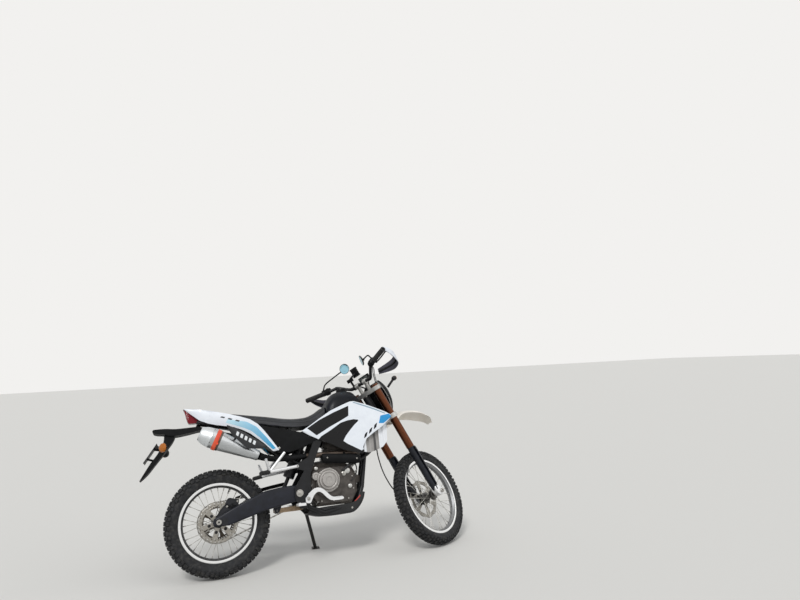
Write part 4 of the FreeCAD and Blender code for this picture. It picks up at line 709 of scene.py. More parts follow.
# Panels, tank and seat
def evenly(points, count):
    """Points at even steps along a run of straight lines."""
    points = np.asarray(points, float)
    way = np.concatenate([[0], np.cumsum(np.linalg.norm(np.diff(points, axis=0), axis=1))])
    stops = np.linspace(0, way[-1], count)
    return np.stack([np.interp(stops, way, column) for column in points.T], 1)


def skin(top, low, across, thick, rows=80, columns=24):
    """A panel between two edge lines given as x and z: each point a share of the way from one to the other.

    across(x, z, share) gives its place along y, and the inner face lies a thickness further in.
    """
    top, low = evenly(top, rows), evenly(low, rows)
    share = np.linspace(0, 1, columns)[None, :, None]
    flat = top[:, None] * (1 - share) + low[:, None] * share
    place = across(flat[..., 0], flat[..., 1], np.broadcast_to(share[..., 0], flat.shape[:2]))
    outer = np.stack([flat[..., 0], place, flat[..., 1]], -1)
    inner = outer - np.sign(place)[..., None] * (0, thick, 0)
    ring = np.concatenate([outer, inner[:, ::-1]], 1)
    faces = grid_faces(rows, 2 * columns, close_columns=True).tolist()
    for start in (0, (rows - 1) * 2 * columns):
        faces += [[start + k, start + k + 1, start + 2 * columns - 2 - k, start + 2 * columns - 1 - k]
            for k in range(columns - 1)]
    return ring.reshape(-1, 3), faces


def inside_by(flat, corners):
    """How far each flat point lies inside a closed outline, below zero outside: the nearest edge."""
    flat, start = np.asarray(flat, float), np.asarray(corners, float)
    run = np.roll(start, -1, 0) - start
    away = flat[:, None] - start
    share = np.clip((away * run).sum(-1) / (run ** 2).sum(-1), 0, 1)
    near = np.linalg.norm(away - share[..., None] * run, axis=-1).min(1)
    above = start[:, 1] > flat[:, 1:]
    end_above = np.roll(start, -1, 0)[:, 1] > flat[:, 1:]
    rise = np.where(run[:, 1] == 0, 1e-9, run[:, 1])
    left = flat[:, :1] < run[:, 0] * (flat[:, 1:] - start[:, 1]) / rise + start[:, 0]
    odd = ((above != end_above) & left).sum(1) % 2 == 1
    return np.where(odd, near, -near)


def lay_on(piece, zones):
    """Stores for each colour zone the distance inside its outlines, in metres, for the material to read."""
    mesh = piece.data
    local = to_machine(vertex_values(mesh, "co"))
    for name, outlines in zones.items():
        depth = np.max([inside_by(local[:, [0, 2]], corners) for corners in outlines], axis=0)
        layer = mesh.attributes.new(name, "FLOAT", "POINT")
        layer.data.foreach_set("value", (depth / 1000).astype(np.float32))


def slanted_bars(start, step, count, wide, tall, lean):
    """Outlines of plain slanted bars in a row."""
    bars = []
    for index in range(count):
        x, z = np.array(start) + np.array(step) * index
        bars.append([(x, z), (x + wide, z + wide * step[1] / step[0]),
            (x + wide + lean, z + wide * step[1] / step[0] + tall), (x + lean, z + tall)])
    return bars


def button_head(at):
    """A low round bolt head that faces out to the left."""
    return spun([(0, 0), (0, 1.6), (4.5, 1.6), (6.5, 0.6), (7, 0)], at, sides=16)


SHROUD_TOP = [(517, 806), (556, 827), (647, 884), (711, 923), (800, 958), (845, 974), (872, 974),
    (940, 948), (1003, 920), (1080, 884), (1110, 866), (1112, 853)]
SHROUD_LOW = [(517, 804), (570, 772), (626, 744), (694, 712), (778, 668), (863, 641), (905, 630),
    (912, 634), (899, 660), (934, 722), (985, 757), (1040, 789), (1100, 836), (1112, 851)]
SHROUD_ZONES = {"dark_inset": [[(552, 819), (635, 868), (732, 910), (834, 947), (829, 880), (765, 848),
    (703, 819), (611, 770)], [(612, 735), (640, 762), (705, 797), (772, 838), (820, 851), (860, 855),
    (897, 847), (862, 818), (832, 787), (801, 752), (782, 721), (810, 700), (844, 681), (895, 650),
    (940, 640), (914, 610), (778, 640), (660, 700)]], "blue_patch": [[(1038, 862), (1098, 872), (1117, 852),
    (1055, 811), (1022, 813)]], "dark_marks": slanted_bars((916, 722), (34, 26), 3, 20, 30, 8),
    "pale_line": [[(858, 969), (872, 969), (1003, 914), (1076, 878), (1070, 872), (1000, 905), (872, 960)]]}

SHROUD_X = [500, 700, 850, 930, 1028, 1120]


def shroud_across(x, z, share):
    """Out from the middle: wider towards the front, with a soft crown between the edges."""
    out = np.interp(x, SHROUD_X, [140, 142, 151, 170, 183, 184])
    return out + 5 * np.sin(math.pi * share) ** 0.8


shroud_paint = injection_moulded("abs_panel_white_striped", "#DFE3E9", "#E5E9EE", 0.3, coat=0.1, shine=0.25)
overlaid(shroud_paint, (("dark_inset", "#0A0A0C"), ("pale_line", "#8FA3B0"), ("blue_patch", "#2E8FCB"),
    ("dark_marks", "#191B20")))
shroud = Stock().both(skin(SHROUD_TOP, SHROUD_LOW, shroud_across, 5, 120, 40))
for bolt_x, bolt_z in ((905, 648), (560, 812), (1085, 862)):
    bolt_y = float(np.interp(bolt_x, SHROUD_X, [141, 143, 153, 172, 185, 186]))
    shroud.both(button_head((bolt_x, bolt_y, bolt_z)), 1)
shroud_piece = shroud.make("shroud_panels", [shroud_paint, bar_black], "panel_white", "shrouds", sharp=45)
lay_on(shroud_piece, SHROUD_ZONES)
mount_stubs = Stock().both(tube([(760, 124, 900), (760, 143, 900)], 9, 12))
mount_stubs.make("shroud_mounts", [bar_black], "panel_black")


def louvre_across(x, z, share):
    """Five upright ribs: the panel steps in and out along x."""
    wave = np.sin((x - 916) * math.pi / 17)
    return 150 + 3.2 * np.sign(wave) * np.abs(wave) ** 0.35


# White louvre: its grey body and the one dark rib are painted shade in the vent between the white ends
louvre_paint = injection_moulded("louvre_white_vent_painted_shade", "#7F7C79", "#9A9794", 0.45, coat=0.35)
overlaid(louvre_paint, (("pale_rib", "#E1E3E6"), ("rib_painted_shade", "#3B3A3A")))
louvre = Stock().both(skin([(912, 712), (934, 718), (985, 753), (1040, 785), (1088, 822)],
    [(912, 642), (950, 634), (985, 640), (1046, 662), (1080, 700)], louvre_across, 3, 90, 12))
louvre_piece = louvre.make("side_louvres", [louvre_paint], "panel_white", sharp=30)
lay_on(louvre_piece, {"pale_rib": [[(1022, 600), (1110, 600), (1110, 900), (1022, 900)],
    [(912, 600), (934, 600), (934, 900), (912, 900)]], "rib_painted_shade": [[(985, 600), (1000, 600), (1000, 900),
    (985, 900)]]})

TAIL_TOP = [(-195, 1011), (-110, 997), (-30, 979), (40, 961), (135, 931), (200, 906), (246, 872),
    (285, 826), (330, 762), (370, 703)]
TAIL_LOW = [(-195, 1006), (-146, 964), (-102, 926), (-50, 903), (0, 889), (98, 868), (150, 846), (198, 818),
    (278, 752), (334, 695), (366, 698)]
TAIL_ZONES = {"cyan_stripe": [[(64, 918), (179, 892), (236, 856), (290, 792), (350, 712), (332, 706),
    (296, 742), (255, 786), (205, 832), (160, 856), (110, 876), (52, 898)]],
    "tail_marks": slanted_bars((20, 934), (44, -15), 3, 24, 8, 6)}


def tail_across(x, z, share):
    """Out from the middle: narrow at the tail's tip, with a soft crown."""
    out = np.interp(x, [-200, -100, 24, 135, 262, 372], [27, 66, 88, 108, 128, 134])
    return out + 4 * np.sin(math.pi * share) - 1


tail_paint = injection_moulded("abs_panel_white_tail", "#DFE3E9", "#E5E9EE", 0.3, coat=0.35)
tail_tree = tail_paint.node_tree
along_tail = add(tail_tree, "SeparateXYZ", {"Vector": add(tail_tree,
    "TexCoord").outputs["Object"]}).outputs["X"]
stripe_x = [float(to_world([(x, -110, 800)])[0, 0]) for x in (60, 330)]
fade = ramp(tail_tree, along_tail, *stripe_x)
overlaid(tail_paint, (("cyan_stripe", mix(tail_tree, fade, linear("#BFE2EC"), linear("#2F9CCB"))),
    ("tail_marks", "#23262B")))
tail = Stock().both(skin(TAIL_TOP, TAIL_LOW, tail_across, 5, 110, 30))
lid = []
for x, half, z in ((-195, 27, 1010), (-140, 52, 1001), (-90, 68, 991), (-40, 78, 981), (8, 84, 970)):
    across = np.linspace(-1, 1, 13)
    crown = points_at(x, across * half, z + 3 * (1 - across ** 2))
    lid.append(shell(crown, crown - (0, 0, 4)))
tail.put(rings_joined(lid))
tail_piece = tail.make("tail_fairing", [tail_paint], "panel_white", "tail_panels", sharp=42)
lay_on(tail_piece, TAIL_ZONES)
outline = smooth_path([(-198, 1003), (-190, 985), (-172, 924), (-150, 916), (-122, 920), (-108, 934)], 5)
roof = smooth_path([(-108, 938), (-140, 966), (-176, 996)], 5)
lens = np.vstack([outline, roof])
tail_lamp = Stock().put(rings_joined([np.insert(lens, 1, y, axis=1) + (dx, 0, 0)
    for y, dx in ((-27, 5), (-25, 1), (-14, -1), (14, -1), (25, 1), (27, 5))]), 0)
tail_lamp.put(prism([(-199, 1010), (-176, 1004), (-176, 996), (-198, 1000)], -24, 24), 1)
tail_lamp.make("tail_lamp_lens", [lens_red, panel_black], "lens_red", "tail_light", bevel=1.5)

COVER_TOP = [(262, 864), (301, 854), (400, 828), (510, 801), (560, 810), (640, 846), (700, 868)]
COVER_LOW = [(262, 860), (285, 800), (330, 712), (346, 698), (381, 686), (438, 681), (502, 699), (560, 722),
    (622, 748), (690, 772), (700, 862)]


def cover_across(x, z, share):
    """Nearly flat, pulled in at both ends, with a raised middle."""
    return 134 - 7 * ((x - 480) / 240) ** 2 - 5 * np.abs(share - 0.5) ** 1.5 * 2


side_cover = Stock().both(skin(COVER_TOP, COVER_LOW, cover_across, 5, 90, 24))
side_cover.both(button_head((372, 131, 712)), 1)
side_cover.make("side_cover_panels", [panel_black, axle_steel], "panel_black", "side_covers")

TANK_ROWS = smooth_path([  # x, underside, widest line, top, half width there, half width at the top
    (701, 846, 880, 985, 108, 50), (722, 838, 888, 1018, 118, 54), (760, 828, 900, 1052, 124, 54),
    (830, 820, 900, 1066, 126, 52), (900, 820, 900, 1056, 118, 48), (960, 820, 900, 1028, 106, 44),
    (988, 822, 900, 1008, 100, 40)], 6)
TANK_STOP = 1407  # where the line along the steering head that the tank stays behind meets the ground
tank_rings = []
for x, low, side, top, side_half, top_half in TANK_ROWS:
    rise = top - side
    half = smooth_path([(side_half * 0.8, low), (side_half * 0.97, low + 12), (side_half, side),
        (side_half * 0.95, side + rise * 0.4), ((side_half + top_half) / 2 + 9, side + rise * 0.72),
        (top_half + 3, top - 9), (top_half * 0.6, top - 1), (0, top)], 5)
    ring = mirrored_section(x, half)
    ring[:, 0] = np.minimum(ring[:, 0], TANK_STOP - ring[:, 2] * math.tan(RAKE))
    tank_rings.append(ring)
tank = Stock().put(rings_joined(tank_rings))
tank.put(spun([(0, 26), (26, 25), (31, 22), (33, 17), (33, 8), (40, 5), (41, 0), (0, 0)], (829, 0, 1063),
    (-0.09, 0, 1), 48), 1)
tank.put(spun([(0, 29), (7, 29), (8, 27), (8, 25), (0, 25)], (829, 0, 1063), (-0.09, 0, 1), 20), 2)
tank.make("tank_shell", [tank_enamel, panel_black, axle_steel], "tank_black", ("fuel_tank", "fuel_cap"),
    sharp=50)

SEAT_ROWS = smooth_path([  # x, underside, top, half width below, half width above
    (6, 930, 958, 70, 54), (60, 918, 957, 82, 68), (130, 902, 948, 91, 76), (215, 882, 934, 100, 84),
    (300, 864, 921, 105, 90), (400, 846, 904, 108, 92), (480, 838, 896, 107, 88), (560, 838, 900, 100, 76),
    (620, 850, 922, 88, 62), (660, 868, 948, 78, 52), (698, 896, 976, 66, 44)], 6)
SEAT_SWELL = 4.0  # room left for the pad to swell into
SWELL_STEPS = 20


def seat_rings():
    """Cross sections of the seat, a little small: flat underside, sides that lean in, and a crowned top."""
    rings = []
    for x, low, high, below, above in SEAT_ROWS:
        half = smooth_path([(below * 0.9, low), (below - 1, low + 5), (below + 2, (low + high) / 2),
            (above + 8, high - 13), (above - 8, high - 3), (above * 0.45, high + 2), (0, high + 3)], 4)
        half = half - SEAT_SWELL * np.column_stack([np.full(len(half), 1.0), (half[:, 1] > low + 2)])
        half[-1, 0] = 0
        rings.append(mirrored_section(x, half))
    return rings


def swollen(piece, cap_mm):
    """Remeshes a pad, blows it up as cloth with its underside held, and keeps it within a distance."""
    scene = bpy.context.scene
    voxels = piece.modifiers.new("voxels", "REMESH")
    voxels.mode = "VOXEL"
    voxels.voxel_size = 0.006
    even = bpy.data.meshes.new_from_object(piece.evaluated_get(bpy.context.evaluated_depsgraph_get()))
    piece.modifiers.remove(voxels)
    for finish in piece.data.materials:
        if finish.name not in even.materials:
            even.materials.append(finish)
    piece.data = even
    start = vertex_values(even, "co")
    facing = vertex_values(even, "normal")
    held = piece.vertex_groups.new(name="base")
    held.add(np.flatnonzero(facing @ upward < -0.5).tolist(), 1.0, "REPLACE")
    cloth = piece.modifiers.new("swell", "CLOTH")
    cloth.settings.quality = 6
    cloth.settings.mass = 0.3
    cloth.settings.use_pressure = True
    cloth.settings.uniform_pressure_force = 4.0
    cloth.settings.effector_weights.gravity = 0.0
    cloth.settings.vertex_group_mass = "base"
    cloth.point_cache.frame_start = 1
    cloth.point_cache.frame_end = SWELL_STEPS
    for step in range(1, SWELL_STEPS + 1):
        scene.frame_set(step)
    blown = piece.evaluated_get(bpy.context.evaluated_depsgraph_get())
    move = vertex_values(blown.to_mesh(), "co") - start
    blown.to_mesh_clear()
    piece.modifiers.remove(cloth)
    scene.frame_set(1)
    length = np.linalg.norm(move, axis=1)[:, None]
    kept = start + move * np.minimum(1, cap_mm / 1000 / np.maximum(length, 1e-9))
    even.vertices.foreach_set("co", kept.ravel())
    even.shade_smooth()
    even.update()


# Calendered vinyl: a fine pebble grain, drawn large so that it shows, and a dull sheen that varies in patches
vinyl, vinyl_tree, vinyl_shader, vinyl_place = blank("seat_vinyl_pressed_grain")
vinyl_colour = mottled(vinyl_tree, vinyl_place, "#17191D", "#24262B", 70.0, 5.0)
vinyl_tree.links.new(vinyl_colour, vinyl_shader.inputs["Base Color"])
varied_gloss(vinyl_tree, vinyl_shader, vinyl_place, 40.0, 0.46, 0.62)
pebbled(vinyl_tree, vinyl_shader, vinyl_place, 2.4, 0.35)
seat_piece = Stock().put(rings_joined(seat_rings())).make("seat_pad", [vinyl], "seat_black", "seat",
    sharp=80)
swollen(seat_piece, 7.0)
rounding = seat_piece.modifiers.new("finer", "SUBSURF")
rounding.levels = rounding.render_levels = 1
seat_data = seat_piece.data
seat_tree = BVHTree.FromPolygons([vertex.co for vertex in seat_data.vertices],
    [list(face.vertices) for face in seat_data.polygons])


def on_seat(points):
    """Each point moved to where a line square to the machine's middle meets the pad."""
    spots = []
    for point in points:
        start, aside = to_world([point, np.array(point) * (1, 2, 1)])
        hit = seat_tree.ray_cast(aside.tolist(), (start - aside).tolist())[0]
        if hit is not None:
            spots.append(to_machine(hit))
    return np.array(spots)


welts = Stock()
for hand in (1, -1):
    for share in (0.52, 0.8):
        line = [(x, hand * below, low + (high - low) * share) for x, low, high, below, _ in SEAT_ROWS[2:-2]]
        welts.put(tube(on_seat(line), 1.9, 8))
welts.make("seat_welts", [vinyl], "seat_black", sharp=80)


# Exhaust
def eased(points, rounds=3):
    """A run of straight lines with its corners cut: two points a quarter in from the ends of every run."""
    points = np.asarray(points, float)
    for _ in range(rounds):
        near = 0.75 * points[:-1] + 0.25 * points[1:]
        far = 0.25 * points[:-1] + 0.75 * points[1:]
        points = np.vstack([points[:1], np.stack([near, far], 1).reshape(-1, 3), points[-1:]])
    return points


def bolt(stock, at, way, radius, finish, tall=None):
    """A hexagon head with a chamfer, on a thin washer."""
    tall = tall or radius * 0.8
    stock.put(spun([(0, 0), (radius * 1.35, 0), (radius * 1.35, 1), (radius, 1.1), (radius, tall - 0.8),
        (radius * 0.85, tall), (0, tall)], at, way, 6), finish)


MUFFLER_FROM = np.array([236.0, -190.0, 670.0])
MUFFLER_TO = np.array([-108.0, -200.0, 830.0])
muffler_way = unit(MUFFLER_TO - MUFFLER_FROM)
muffler_cap = turned_metal("muffler_cap_bead_blasted", "#C4C8CB", "#E2E5E7", 0.42)
muffler = Stock()
MUFFLER_PARTS = [
    # can, with a seam before the cap
    (spun, [(0, 0), (27, 0), (30, 3), (33.5, 48), (36, 56), (46, 150), (57, 246), (59, 262), (59, 298),
            (60, 300), (60, 305), (59, 307)], 80, 0),
    # cap, rolled in round the outlet
    (spun, [(59, 307), (58, 309), (57, 326), (52, 348), (45, 364), (40, 374), (37, 376), (34, 375),
            (30, 364), (27, 352)], 80, 1),
    # outlet's dark end
    (spun, [(27, 352), (24, 340), (23, 300), (0, 298)], 48, 3),
    # strap and steel band
    (lathe, [(59.6, 258), (62.5, 259), (63, 262), (63, 278), (62.5, 281), (59.6, 282)], 80, 2),
    (lathe, [(58.2, 246), (59.9, 247), (59.9, 257), (58.6, 258)], 80, 3)]
for shape, profile, sides, finish in MUFFLER_PARTS:
    muffler.put(shape(profile, MUFFLER_FROM, muffler_way, sides), finish)
strap_end = np.array([(-5, -56, -26), (5, -56, -22), (5, -60, -22), (-5, -60, -26)])
muffler.put(rings_joined([MUFFLER_FROM + muffler_way * 268 + (strap_end - (0, k, k)) for k in (-8, 2, 10)]),
    2)
for turn in range(8):
    angle = turn * math.pi / 4 + 0.2
    first = unit(np.cross(muffler_way, LEFT))
    out = first * math.cos(angle) + np.cross(muffler_way, first) * math.sin(angle)
    muffler.put(spun([(0, 2), (2.4, 1.6), (3, 0), (0, 0)], MUFFLER_FROM + muffler_way * 302.5 + out * 59.6,
        out, 8), 3)
muffler.make("muffler_can", [muffler_steel, muffler_cap, strap_orange, header_steel], "muffler_steel",
    "muffler", sharp=50)

HEADER_ROUTE = [(839.6, -10, 689.9), (870, -10, 680.7), (892.9, -10, 673.8), (906, -44, 664),
    (896, -78, 655), (840, -89, 649), (700, -89, 650), (570, -89, 651), (500, -108, 648), (440, -120, 646),
    (350, -121, 646), (276, -170, 656), (236.6, -190, 669.6)]
header_line = eased(HEADER_ROUTE)
swell = np.interp(np.linspace(0, 1, len(header_line)), [0, 0.86, 1.0], [18.0, 18.0, 25.0])
bare = int(len(header_line) * 0.62)  # points before the painted stretch
header = Stock().put(tube(header_line[:bare], 18, 24), 0)
header.put(tube(header_line[bare - 1:], swell[bare - 1:], 24), 1)
header.put(lathe([(18, -1), (34, -1), (34, 6), (18, 6)], (845, -10, 688.2), (0.9573, 0, -0.2892), 32), 2)
header.make("header_pipe", [header_steel, panel_black, caliper_dark], "header_steel", "exhaust_header")

plate_paint = injection_moulded("guard_plate_black_marked", "#0E0F12", "#16171B", 0.45, coat=0.05)
overlaid(plate_paint, (("plate_bars", "#D9DCDD"),))
shields = Stock().put(skin([(50, 862), (104, 836), (157, 807), (215, 766), (268, 724), (270, 718)],
    [(50, 850), (70, 815), (92, 786), (164, 712), (254, 704), (268, 714)],
    lambda x, z, share: -258 - 4 * np.sin(math.pi * share), 4, 60, 20))
for x, z in ((106, 800), (186, 742)):
    shields.put(tube([(x, -258, z), (x - 14, -222, z - 34)], 6, 12), 1)
plate_piece = shields.make("muffler_side_plate", [plate_paint, bar_black], "guard_black", "heat_shields")
lay_on(plate_piece, {"plate_bars": slanted_bars((100, 797), (24, -15), 5, 14, 22, 8)})
long_guard = Stock()
shape = []
for share in np.linspace(0, 1, 26):
    centre = np.array([628, -134, 628]) * (1 - share) + np.array([893, -134, 600]) * share
    full = math.sin(math.acos(min(1, abs(2 * share - 1) ** 4))) ** 0.5
    angle = np.linspace(-math.pi * 0.62, math.pi * 0.62, 15)
    outer, inner = (points_at(0, -deep * np.cos(angle) * full, tall * np.sin(angle) * full) + centre
        for deep, tall in ((22, 30), (18, 26)))
    shape.append(shell(outer, inner))
long_guard.put(rings_joined(shape))
for x in (690, 790):
    long_guard.put(tube([(x, -107, 649 - (x - 690) * 0.01), (x, -150, 626 - (x - 690) * 0.11)], 7, 12))
for x, z in ((668, 624), (860, 604)):
    bolt(long_guard, (x, -154.5, z), RIGHT, 4, 1)
long_guard.make("header_guard", [panel_black, axle_steel], "guard_black")

# Engine
cover_cast = cast_alloy("clutch_cover_cast_alloy", "#9A9794", "#AEABA8", 0.42)
case_cast = cast_alloy("side_cover_cast_alloy", "#454240", "#5E5A57", 0.5)
COVER_EDGE = [(566, 420), (584, 380), (612, 354), (700, 350), (806, 354), (836, 392), (846, 430),
    (842, 506), (820, 540), (788, 562), (700, 568), (612, 566), (578, 548), (566, 520)]
RAISED_EDGE = [(588, 446), (600, 412), (632, 392), (700, 388), (742, 408), (760, 452), (764, 500),
    (752, 542), (728, 560), (660, 565), (606, 556), (592, 530)]


def closed_curve(points, per_run=5):
    """A smooth closed outline through the points."""
    points = np.asarray(points, float)
    wrapped = np.vstack([points[-2:], points, points[:2]])
    return smooth_path(wrapped, per_run)[2 * per_run:-(1 + per_run)]


def bolt_circle(stock, centre, reach, count, start, radius):
    """Bolts evenly round a cover that faces out to its own side of the machine."""
    for turn in range(count):
        spot = centre + round_about(start + turn * 2 * math.pi / count) * reach
        bolt(stock, spot, (0, math.copysign(1, centre[1]), 0), radius, 2)


covers = Stock()
covers.put(prism(closed_curve(COVER_EDGE), -72.3, -106), 1)
covers.put(prism(closed_curve(RAISED_EDGE), -104, -126), 1)
# Clutch cover and two caps on the right side, then the left side's cover
covers.put(spun([(0, 0), (75, 0), (76, 6), (74, 14), (71, 18), (66, 19), (64, 17), (61, 17), (60, 24),
    (57, 28), (50, 29), (47, 27), (44, 27), (43, 33), (40, 36), (20, 37), (18, 35), (0, 35)],
    (668, -127, 488), RIGHT, 72), 0)
covers.put(spun([(0, 0), (26, 0), (26, 10), (23, 14), (14, 15), (12, 12), (0, 12)], (592, -125, 518), RIGHT,
    32), 0)
covers.put(spun([(0, 0), (15, 0), (15, 8), (12, 10), (5, 10), (5, 16), (-0.01, 16)], (776, -106, 520),
    RIGHT, 24), 2)
bolt_circle(covers, (668, -145.5, 488), 69, 6, 0.3, 4.2)
bolt_circle(covers, (592, -137, 518), 21, 3, 0.5, 3.2)
for x, z in ((578, 430), (622, 366), (700, 362), (796, 366), (832, 424), (830, 500), (780, 550),
        (574, 520)):
    covers.put(spun([(0, 0), (9, 0), (8, 5), (0, 5)], (x, -104, z), RIGHT, 16), 1)
    bolt(covers, (x, -109, z), RIGHT, 4, 2)
covers.put(prism(closed_curve([(640, 352), (806, 354), (836, 392), (846, 430), (842, 506), (820, 540),
    (788, 562), (642, 566), (636, 460)]), 72.3, 102), 1)
covers.put(spun([(0, 0), (73, 0), (73, 12), (68, 19), (60, 21), (56, 18), (52, 18), (50, 23), (44, 24),
    (0, 24)], (706, 101, 468), LEFT, 64), 0)
bolt_circle(covers, (706, 121, 468), 64, 6, 0, 4.2)
covers.make("case_covers", [cover_cast, case_cast, axle_steel], "cover_silver", "engine_covers", bevel=2.2,
    sharp=40)

PEDAL_EDGE = closed_curve([(514, 366), (512, 386), (524, 408), (548, 432), (572, 446), (598, 447),
    (622, 436), (648, 412), (668, 392), (690, 383), (742, 380), (744, 364), (690, 362), (664, 368),
    (642, 384), (622, 406), (602, 421), (582, 420), (562, 402), (548, 376), (538, 362)], 4)
controls = Stock().put(prism(PEDAL_EDGE, -168, -177))
controls.put(spun([(0, -8), (13, -8), (14, -6), (14, 40), (11, 42), (0, 42)], (529, -169, 388), LEFT, 24))
bolt(controls, (529, -177, 388), RIGHT, 7, 1)
for notch in range(6):
    controls.put(prism([(700 + notch * 7, 379), (704 + notch * 7, 379), (704 + notch * 7, 383),
        (700 + notch * 7, 383)], -162, -182))
controls.put(prism(closed_curve([(630, 388), (630, 410), (660, 409), (762, 404), (762, 390), (660, 388)]),
    133, 141))
controls.put(tube([(642, 104.3, 399), (642, 140, 399)], 9, 20))
controls.put(tube([(752, 137, 397), (752, 172, 397)], 8, 20), 2)
controls.make("foot_levers", [pedal_alloy, axle_steel, grip_rubber], "pedal_alloy", "foot_controls",
    bevel=1.6, sharp=40)

pegs = Stock()
for hand in (1, -1):
    corner = (300, 172 * hand, 569)
    for end, radii in (((398, 172 * hand, 680), [10, 8]), ((276, 214 * hand, 644), [10, 8]),
            ((472, 172 * hand, 588), [11, 9])):
        pegs.put(tube([corner, end], radii, 16), 0)
    pegs.put(spun([(0, -13), (8, -11), (12, -5), (12, 5), (8, 11), (0, 13)], corner, sides=20), 0)
    pegs.put(tube([(472, 173 * hand, 588), (472, 127.3 * hand, 588)], 9, 16), 0)
    pegs.put(tube([(296, 178 * hand, 568), (240, 234 * hand, 560)], 12, 16), 1)
    for groove in range(5):
        spot = np.array([286, 190 * hand, 567]) + np.array([-10, 10 * hand, -1.4]) * groove
        pegs.put(lathe([(12, -1.6), (13.5, -1), (13.5, 1), (12, 1.6)], spot, (-1, hand, -0.14), 20), 1)
    bolt(pegs, (472, 181 * hand, 588), (0, hand, 0), 5, 2)
pegs.make("peg_brackets", [pedal_alloy, grip_rubber, axle_steel], "pedal_alloy", "passenger_pegs", sharp=40)

# Rear fender, its arm, plate and lamps
ARM_EDGE = [(232, 748), (120, 822), (0, 856), (-62, 878), (-110, 890), (-166, 889), (-240, 886),
    (-300, 891), (-350, 891), (-373, 888), (-374, 873), (-352, 864), (-318, 860), (-290, 850), (-262, 846),
    (-232, 846), (-166, 856), (-100, 868), (-40, 864), (116, 810), (226, 738)]
arm = Stock().put(prism(closed_curve(ARM_EDGE, 3), -56, 56), 0)
arm.put(prism(closed_curve([(-250, 852), (-304, 858), (-313, 812), (-345, 746), (-384, 694), (-440, 603),
    (-436, 599), (-398, 634), (-360, 682), (-314, 738), (-282, 782), (-256, 820)], 3), -44, 44), 0)
arm.put(tube([(-110, 0, 880), (-110, 0, 906)], 14, 16), 0)
arm.put(prism([(-350, 806), (-425, 697), (-423, 695), (-348, 804)], -66, 66), 1)
for y in (-30, 30):
    arm.put(tube([(-322, y, 770), (-366, y, 778)], 5, 12), 0)
    arm.put(tube([(-372, y, 712), (-404, y, 722)], 4, 12), 0)
plate_blank = injection_moulded("plate_holder_bare", "#1B1C1F", "#26272B", 0.5)
arm.make("rear_fender_arm", [panel_black, plate_blank], "panel_black", "rear_fender", bevel=4, sharp=40)


def winker(stock, root, joint, centre, way, radius, deep):
    """A stalk, a black shell and a domed lens that shows round from behind and from the side."""
    stock.put(tube(eased([root, joint, centre], 2), 6, 12), 1)
    stock.put(spun([(0, -deep), (radius * 0.6, -deep * 0.9), (radius * 0.93, -deep * 0.5), (radius, 0)],
        centre, way, 28), 1)
    stock.put(spun([(radius, 0), (radius, 3), (radius * 0.93, deep * 0.45), (radius * 0.62, deep * 0.78),
        (0, deep * 0.92)], centre, way, 28), 0)


rear_lamps = Stock()
for hand in (1, -1):
    rear_lamps.put(tube([(-345, 46 * hand, 784), (-345, 60 * hand, 784)], 8, 12), 1)
    winker(rear_lamps, (-345, 58 * hand, 784), (-335, 100 * hand, 776), (-310, 158 * hand, 767),
        (-0.72, 0.69 * hand, 0.02), 27, 20)
rear_lamps.make("rear_winkers", [lens_orange, bar_black], "lens_orange", "rear_indicators")

# Chain, sprocket and swingarm
CHAIN_Y = 67.5
PIVOT_X, PIVOT_Z = 485, 428  # swingarm's bolt


def belt_places(r_front, r_rear, front_x, front_z, count):
    """Even points round a belt over two wheels, and the next ones: two arcs joined by two tangents."""
    gap = math.hypot(front_x, front_z - REAR_R)
    slope = math.atan2(front_z - REAR_R, front_x)
    spread = math.acos((r_rear - r_front) / gap)
    back = [(r_rear * math.cos(a), REAR_R + r_rear * math.sin(a))
        for a in np.linspace(slope + spread, slope + 2 * math.pi - spread, 200)]
    front = [(front_x + r_front * math.cos(a), front_z + r_front * math.sin(a))
        for a in np.linspace(slope - spread, slope + spread, 60)]
    loop = np.array(back + front + back[:1])
    way = np.concatenate([[0], np.cumsum(np.linalg.norm(np.diff(loop, axis=0), axis=1))])
    stops = np.arange(count) * way[-1] / count
    spots = np.stack([np.interp(stops, way, column) for column in loop.T], 1)
    ahead = np.stack([np.interp((stops + way[-1] / count) % way[-1], way, column) for column in loop.T], 1)
    return spots, ahead


# One edge of a link's plate: share of the pitch along, and distance aside
LINK = [(-0.28, -2.5), (-0.1, -4.6), (0.15, -4.6), (0.5, -3.2), (0.85, -4.6), (1.1, -4.6), (1.28, -2.5)]
links = Stock()
spots, ahead = belt_places(36.5, 120.0, 572, 431, 106)
for index, (here, there) in enumerate(zip(spots, ahead)):
    run = unit(there - here)
    side = np.array([-run[1], run[0]])
    pitch = np.linalg.norm(there - here)
    outline = [here + run * pitch * a + side * b for a, b in LINK + [(a, -b) for a, b in reversed(LINK)]]
    out = 6.2 if index % 2 else 4.2
    for hand in (1, -1):
        links.put(prism(outline, CHAIN_Y + hand * out, CHAIN_Y + hand * (out - 1.5)), index % 2)
    for reach, radius, sides, finish in ((7.2, 2.0, 6, 1), (2.7, 4.0, 8, 0)):
        links.put(tube([(here[0], y, here[1]) for y in (CHAIN_Y - reach, CHAIN_Y + reach)], radius, sides),
            finish)
links.make("roller_chain", [chain_steel, axle_steel], "chain_steel", "chain", sharp=35)

